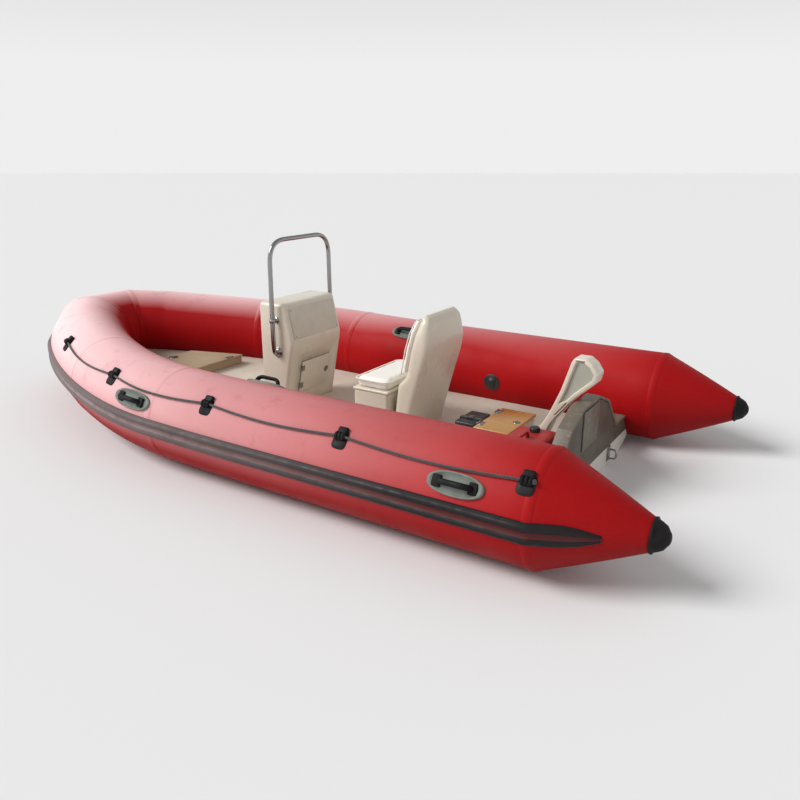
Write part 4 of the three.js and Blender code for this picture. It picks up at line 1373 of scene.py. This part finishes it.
def simulated(name, mesh, cap, material, body, node, voxel=0.006, pressure=4.0):
    """A closed shape blown up as a cloth bag, with each point moved no further than the cap."""
    made = bpy.data.objects.new(name, mesh)
    scene.collection.objects.link(made)
    remesh = made.modifiers.new("remesh", "REMESH")
    remesh.mode = "VOXEL"
    remesh.voxel_size = voxel
    bpy.context.view_layer.update()
    whole = bpy.data.meshes.new_from_object(made.evaluated_get(bpy.context.evaluated_depsgraph_get()))
    made.modifiers.clear()
    made.data = whole
    rest = [vertex.co.copy() for vertex in whole.vertices]
    cloth = made.modifiers.new("cloth", "CLOTH")
    cloth.settings.use_pressure = True
    cloth.settings.uniform_pressure_force = pressure
    cloth.settings.effector_weights.gravity = 0
    cloth.settings.quality = 6
    for number in range(1, 21):
        scene.frame_set(number)
    blown = bpy.data.meshes.new_from_object(made.evaluated_get(bpy.context.evaluated_depsgraph_get()))
    made.modifiers.clear()
    scene.frame_set(1)
    for vertex, start in zip(blown.vertices, rest):
        move = vertex.co - start
        if move.length > cap:
            vertex.co = start + move.normalized() * cap
    made.data = blown
    smooth = made.modifiers.new("settle", "SMOOTH")
    smooth.iterations = 3
    finer = made.modifiers.new("finer", "SUBSURF")
    finer.levels = finer.render_levels = 1
    bpy.context.view_layer.update()
    final = bpy.data.meshes.new_from_object(made.evaluated_get(bpy.context.evaluated_depsgraph_get()))
    bpy.data.objects.remove(made)
    pad = add_object(name, final, material, body)
    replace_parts(pad, node)
    return pad


def make_cushions():
    seat = from_rings("seat_pad", [
        rounded_ring(LID_TOP + 0.004, SEAT_AFT + 0.014, SEAT_FRONT - 0.014, SEAT_HALF - 0.014, 0.03),
        rounded_ring(LID_TOP + 0.012, SEAT_AFT + 0.008, SEAT_FRONT - 0.008, SEAT_HALF - 0.008, 0.034),
        rounded_ring(CUSHION_TOP - 0.018, SEAT_AFT + 0.008, SEAT_FRONT - 0.008, SEAT_HALF - 0.008, 0.034),
        rounded_ring(CUSHION_TOP - 0.008, SEAT_AFT + 0.022, SEAT_FRONT - 0.022, SEAT_HALF - 0.022, 0.03),
    ])
    simulated("seat_pad", seat, 0.007, VINYL, "seat_lid", "seat_cushion")
    piping = rounded_ring(CUSHION_TOP - 0.014, SEAT_AFT + 0.002, SEAT_FRONT - 0.002, SEAT_HALF - 0.002,
                          0.034)
    piping.append(piping[0])
    seam = bar(piping, 0.0032, 10)
    add_object("seat_pad_piping", seam, VINYL, "seat_lid")

    levels = [row for row in smooth_levels(BACK_LEVELS, 5) if PAD_FOOT + 0.008 <= row[0] <= 0.782]
    rings = []
    for i, (z, _, front, half) in enumerate(levels):
        shrink = 0.008 if i in (0, len(levels) - 1) else 0.0
        rings.append(rounded_ring(z, front - PAD_THICK + 0.004 + shrink, front - 0.007 - shrink,
                                  half - 0.022 - shrink, 0.014))
    simulated("back_pad", from_rings("back_pad", rings), 0.006, VINYL, HALL, "seat_back_pad")
    edge = [Vector((front - 0.012, half - 0.016, z)) for z, _, front, half in levels]
    loop = edge + [Vector((p.x, -p.y, p.z)) for p in reversed(edge)]
    add_object("back_pad_piping", bar(loop + [loop[0]], 0.0032, 10), VINYL)


make_seat_box()
make_back()
make_cushions()


# ---- stern post ----
POST_OUTLINE_AFT = [
    (0.14, 0.83), (0.25, 0.812), (0.31, 0.788), (0.355, 0.758), (0.43, 0.7), (0.474, 0.662), (0.505, 0.629),
    (0.555, 0.576), (0.601, 0.566), (0.645, 0.596), (0.668, 0.63),
]
POST_OUTLINE_FRONT = [
    (0.14, 0.93), (0.25, 0.87), (0.31, 0.832), (0.355, 0.806), (0.43, 0.774), (0.474, 0.756),
    (0.505, 0.744),
    (0.555, 0.729), (0.601, 0.715), (0.645, 0.702), (0.668, 0.688),
]
POST_HALF = 0.049


def table(rows, at):
    """The value beside a height, between the rows of (height, value)."""
    for (a, first), (b, second) in zip(rows, rows[1:]):
        if at <= b:
            return first + (second - first) * max(0, at - a) / (b - a)
    return rows[-1][1]


def is_panel(face):
    """Whether a face of the post's side lies inside its rim."""
    middle = face.calc_center_median()
    aft, front = table(POST_OUTLINE_AFT, middle.z), table(POST_OUTLINE_FRONT, middle.z)
    return middle.z > 0.4 and abs((middle.x - aft) / (front - aft) - 0.5) < 0.25


def make_post():
    rows = [((table(POST_OUTLINE_AFT, z), z), (table(POST_OUTLINE_FRONT, z), z)) for z,
            _ in POST_OUTLINE_AFT]
    made = strips(rows, lambda a, b, depth: (a, depth, b), POST_HALF, 0.008)
    flat = [face for face in made.faces if abs(face.normal.y) > 0.99]
    bmesh.ops.inset_region(made, faces=flat, thickness=0.011, depth=0, use_even_offset=True)
    flat = [face for face in made.faces if abs(face.normal.y) > 0.99 and face.calc_area() > 1e-4]
    flat = [face for face in flat if is_panel(face)]
    bmesh.ops.inset_region(made, faces=flat, thickness=0.005, depth=-0.013, use_even_offset=True)
    mesh = finished(made)
    post = add_object("stern_post_moulding", mesh, GELCOAT)
    mesh.materials.append(SHADED)
    for face in mesh.polygons:
        if abs(face.normal.y) > 0.9 and abs(face.center.y) < POST_HALF - 0.01:
            face.material_index = 1
    sharpened(mesh, 40)
    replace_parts(post, "stern_post")
    bolts = []
    for x, y in ((0.82, 0.075), (0.94, 0.075), (0.82, -0.075), (0.94, -0.075)):
        bolts.append(screw(Matrix.Translation((x, y, 0.1475)), 0.008))
    plate = block((0.16, 0.18, 0.006), 0.0025, 2, Matrix.Translation((0.88, 0, 0.1435)))
    add_joined("stern_post_foot", [plate, *bolts], STEEL)


make_post()


# ---- lockers ----
def make_lockers():
    # the bow locker takes the darker tan copy of the non-slip that paints the shade at the bow
    softened("bow_locker", SHADE_TAN, 0.005)
    softened("bow_locker_lid", SHADE_TAN, 0.005, 3, "bow_locker_lid")
    lid_low, lid_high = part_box("bow_locker_lid")
    hinges = []
    for y in (-0.2, 0.2):
        place = Matrix.Translation((lid_low.x + 0.001, y, lid_high.z)) @ Matrix.Rotation(-math.pi / 2, 4,
                                                                                         "Z")
        hinges.append(hinge_leaf(place, 0.06, 0.03))
    add_joined("bow_locker_hinges", hinges, STEEL, "bow_locker_lid")
    place = Matrix.Translation((lid_high.x - 0.05, 0, lid_high.z))
    ring = [(0, 0.0008), (0.022, 0.0008), (0.024, 0.003), (0.031, 0.003), (0.034, 0.0005), (0.034, -0.001),
            (0, -0.001)]
    lift = [lathe(ring, 40, place), block((0.008, 0.04, 0.004), 0.0015, 2,
                                          place @ Matrix.Translation((0, 0, 0.002)))]
    add_joined("bow_locker_pull", lift, STEEL, "bow_locker_lid")

    softened("stern_locker", GELCOAT, 0.006)
    lid_low, lid_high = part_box("stern_locker_lid")
    size = lid_high - lid_low
    board = block((size.x, size.y, size.z), 0.006, 4, Matrix.Translation((lid_low + lid_high) / 2))
    made = add_object("stern_locker_board", board, WOOD, "stern_locker_lid")
    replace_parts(made, "stern_locker_lid")
    hinges = []
    for y in (-0.11, 0.11):
        place = Matrix.Translation((lid_high.x - 0.001, y, lid_high.z)) @ Matrix.Rotation(math.pi / 2, 4,
                                                                                          "Z")
        hinges.append(hinge_leaf(place, 0.05, 0.028))
    add_joined("stern_locker_hinges", hinges, STEEL, "stern_locker_lid")
    place = Matrix.Translation((lid_low.x + 0.035, 0, lid_high.z))
    ring = [(0, 0.0006), (0.013, 0.0006), (0.0145, 0.0022), (0.019, 0.0022), (0.021, 0.0005),
            (0.021, -0.001), (0, -0.001)]
    add_object("stern_locker_pull", lathe(ring, 36, place), STEEL, "stern_locker_lid")


def make_battery():
    low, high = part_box("battery_box")
    centre = (low + high) / 2
    size = high - low
    parts = [block((size.x - 0.01, size.y - 0.01, size.z - 0.03), 0.012, 4,
                   Matrix.Translation((centre.x, 0, low.z + (size.z - 0.03) / 2)))]
    parts.append(block((size.x, size.y, 0.034), 0.01, 4, Matrix.Translation((centre.x, 0, high.z - 0.019))))
    for i in range(7):
        y = -0.075 + 0.025 * i
        for x in (low.x + 0.005, high.x - 0.005):
            parts.append(block((0.005, 0.008, size.z - 0.045), 0.002, 2,
                               Matrix.Translation((x, y, low.z + (size.z - 0.04) / 2))))
    made = add_joined("battery_case", parts, PLASTIC)
    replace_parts(made, "battery_box")
    strap = [
        block((size.x + 0.004, 0.03, 0.0025), 0.0008, 1,
              Matrix.Translation((centre.x, 0.02, high.z + 0.0008))),
        block((0.0025, 0.03, size.z - 0.004), 0.0008, 1,
              Matrix.Translation((low.x - 0.0012, 0.02, centre.z))),
        block((0.0025, 0.03, size.z - 0.004), 0.0008, 1,
              Matrix.Translation((high.x + 0.0012, 0.02, centre.z))),
        block((0.034, 0.042, 0.008), 0.003, 3, Matrix.Translation((centre.x, 0.02, high.z + 0.004))),
    ]
    add_joined("battery_strap", strap, ROPE)


def make_tank():
    low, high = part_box("fuel_tank")
    centre, size = (low + high) / 2, high - low
    body = block((size.x, size.y, size.z), 0.034, 6, Matrix.Translation(centre))
    parts = [body]
    for i in range(5):
        y = centre.y + (i - 2) * size.y * 0.17
        for x in (low.x + 0.002, high.x - 0.002):
            parts.append(block((0.008, 0.016, size.z - 0.075), 0.0035, 3,
                               Matrix.Translation((x, y, centre.z))))
    handle_y = centre.y + 0.06
    grip = rounded_path([(centre.x, handle_y - 0.06, high.z - 0.004),
                         (centre.x, handle_y - 0.05, high.z + 0.03),
                         (centre.x, handle_y + 0.05, high.z + 0.03),
                         (centre.x, handle_y + 0.06, high.z - 0.004)], 0.02, 6)
    parts.append(bar(grip, 0.009, 14))
    made = add_joined("fuel_can", parts, TANK)
    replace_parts(made, "fuel_tank")
    cap_low, cap_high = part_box("fuel_cap")
    cap_centre = (cap_low + cap_high) / 2
    base = Matrix.Translation((cap_centre.x, cap_centre.y, cap_low.z))
    outline = [(0, 0.0235), (0.019, 0.0235), (0.023, 0.021), (0.0245, 0.016), (0.0248, 0.002), (0.0255, 0),
               (0, 0)]
    parts = [lathe(outline, 40, base)]
    for k in range(16):
        turn = base @ Matrix.Rotation(2 * math.pi * k / 16, 4,
                                      "Z") @ Matrix.Translation((0.0248, 0, 0.0095))
        parts.append(block((0.003, 0.0045, 0.014), 0.0012, 2, turn))
    made = add_joined("filler_cap", parts, PLASTIC)
    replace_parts(made, "fuel_cap")


def make_eyes():
    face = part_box("transom")[0].x
    for side, sign in SIDES:
        y, z = sign * 0.35, 0.06
        plate = block((0.006, 0.044, 0.084), 0.0026, 3, Matrix.Translation((face - 0.0033, y, z)))
        loop = bar(rounded_path([(face - 0.003, y, z + 0.026), (face - 0.046, y, z + 0.026),
                                 (face - 0.046, y, z - 0.026),
                                 (face - 0.003, y, z - 0.026)], 0.022, 8), 0.005, 16)
        nuts = []
        for shift in (0.026, -0.026):
            turn = Matrix.Rotation(-math.pi / 2, 4, "Y")
            turn.translation = (face - 0.0055, y, z + shift)
            nuts.append(lathe([(0, 0), (0.0105, 0), (0.0105, 0.004), (0.009, 0.0055), (0, 0.0055)], 6,
                              turn))
        made = add_joined(side + "_towing_eye", [plate, loop, *nuts], STEEL)
        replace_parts(made, side + "_tow_eye")
    turn = Matrix.Rotation(-math.pi / 2, 4, "Y")
    turn.translation = (face, 0.12, 0.075)
    outline = [(0, 0.008), (0.012, 0.008), (0.013, 0.004), (0.021, 0.004), (0.024, 0.002), (0.024, -0.001),
               (0, -0.001)]
    add_object("drain_plug", lathe(outline, 32, turn), STEEL)


make_lockers()
make_battery()
make_tank()
make_eyes()

# ---- floor and light ----
def make_stage():
    mesh = bpy.data.meshes.new("floor")
    mesh.from_pydata([(-200, -200, 0), (200, -200, 0), (200, 200, 0), (-200, 200, 0)], [], [(0, 1, 2, 3)])
    floor = bpy.data.objects.new("floor", mesh)
    scene.collection.objects.link(floor)
    pale = bpy.data.materials.new("floor")
    pale.use_nodes = True
    shader = pale.node_tree.nodes["Principled BSDF"]
    shader.inputs["Base Color"].default_value = (0.8, 0.8, 0.8, 1)
    shader.inputs["Roughness"].default_value = 0.9
    mesh.materials.append(pale)

    world = bpy.data.worlds.new("studio")
    scene.world = world
    world.use_nodes = True
    world.node_tree.nodes["Background"].inputs["Color"].default_value = (1, 1, 1, 1)
    nodes, links = world.node_tree.nodes, world.node_tree.links
    # brighter low down, so that the floor runs into it without a line
    direction = nodes.new("ShaderNodeTexCoord")
    height = nodes.new("ShaderNodeSeparateXYZ")
    links.new(direction.outputs["Generated"], height.inputs[0])
    falloff = nodes.new("ShaderNodeMapRange")
    for socket, number in zip((1, 2, 3, 4), (0.1, 0.5, 0.86, 0.42)):
        falloff.inputs[socket].default_value = number
    links.new(height.outputs["Z"], falloff.inputs[0])
    links.new(falloff.outputs[0], nodes["Background"].inputs["Strength"])


def far_light(name, place, aim, spread, power):
    """A soft light so far off that it lights the whole floor alike."""
    data = bpy.data.lights.new(name, "SUN")
    data.angle = spread
    data.energy = power
    made = bpy.data.objects.new(name, data)
    scene.collection.objects.link(made)
    made.location = place
    made.rotation_mode = "QUATERNION"
    made.rotation_quaternion = (Vector(aim) - Vector(place)).to_track_quat("-Z", "Y")


make_stage()
far_light("key", (6.6, 4.2, 5.4), (2.2, 0.2, 0.3), 0.5, 2.7)
scene.view_settings.view_transform = "Standard"
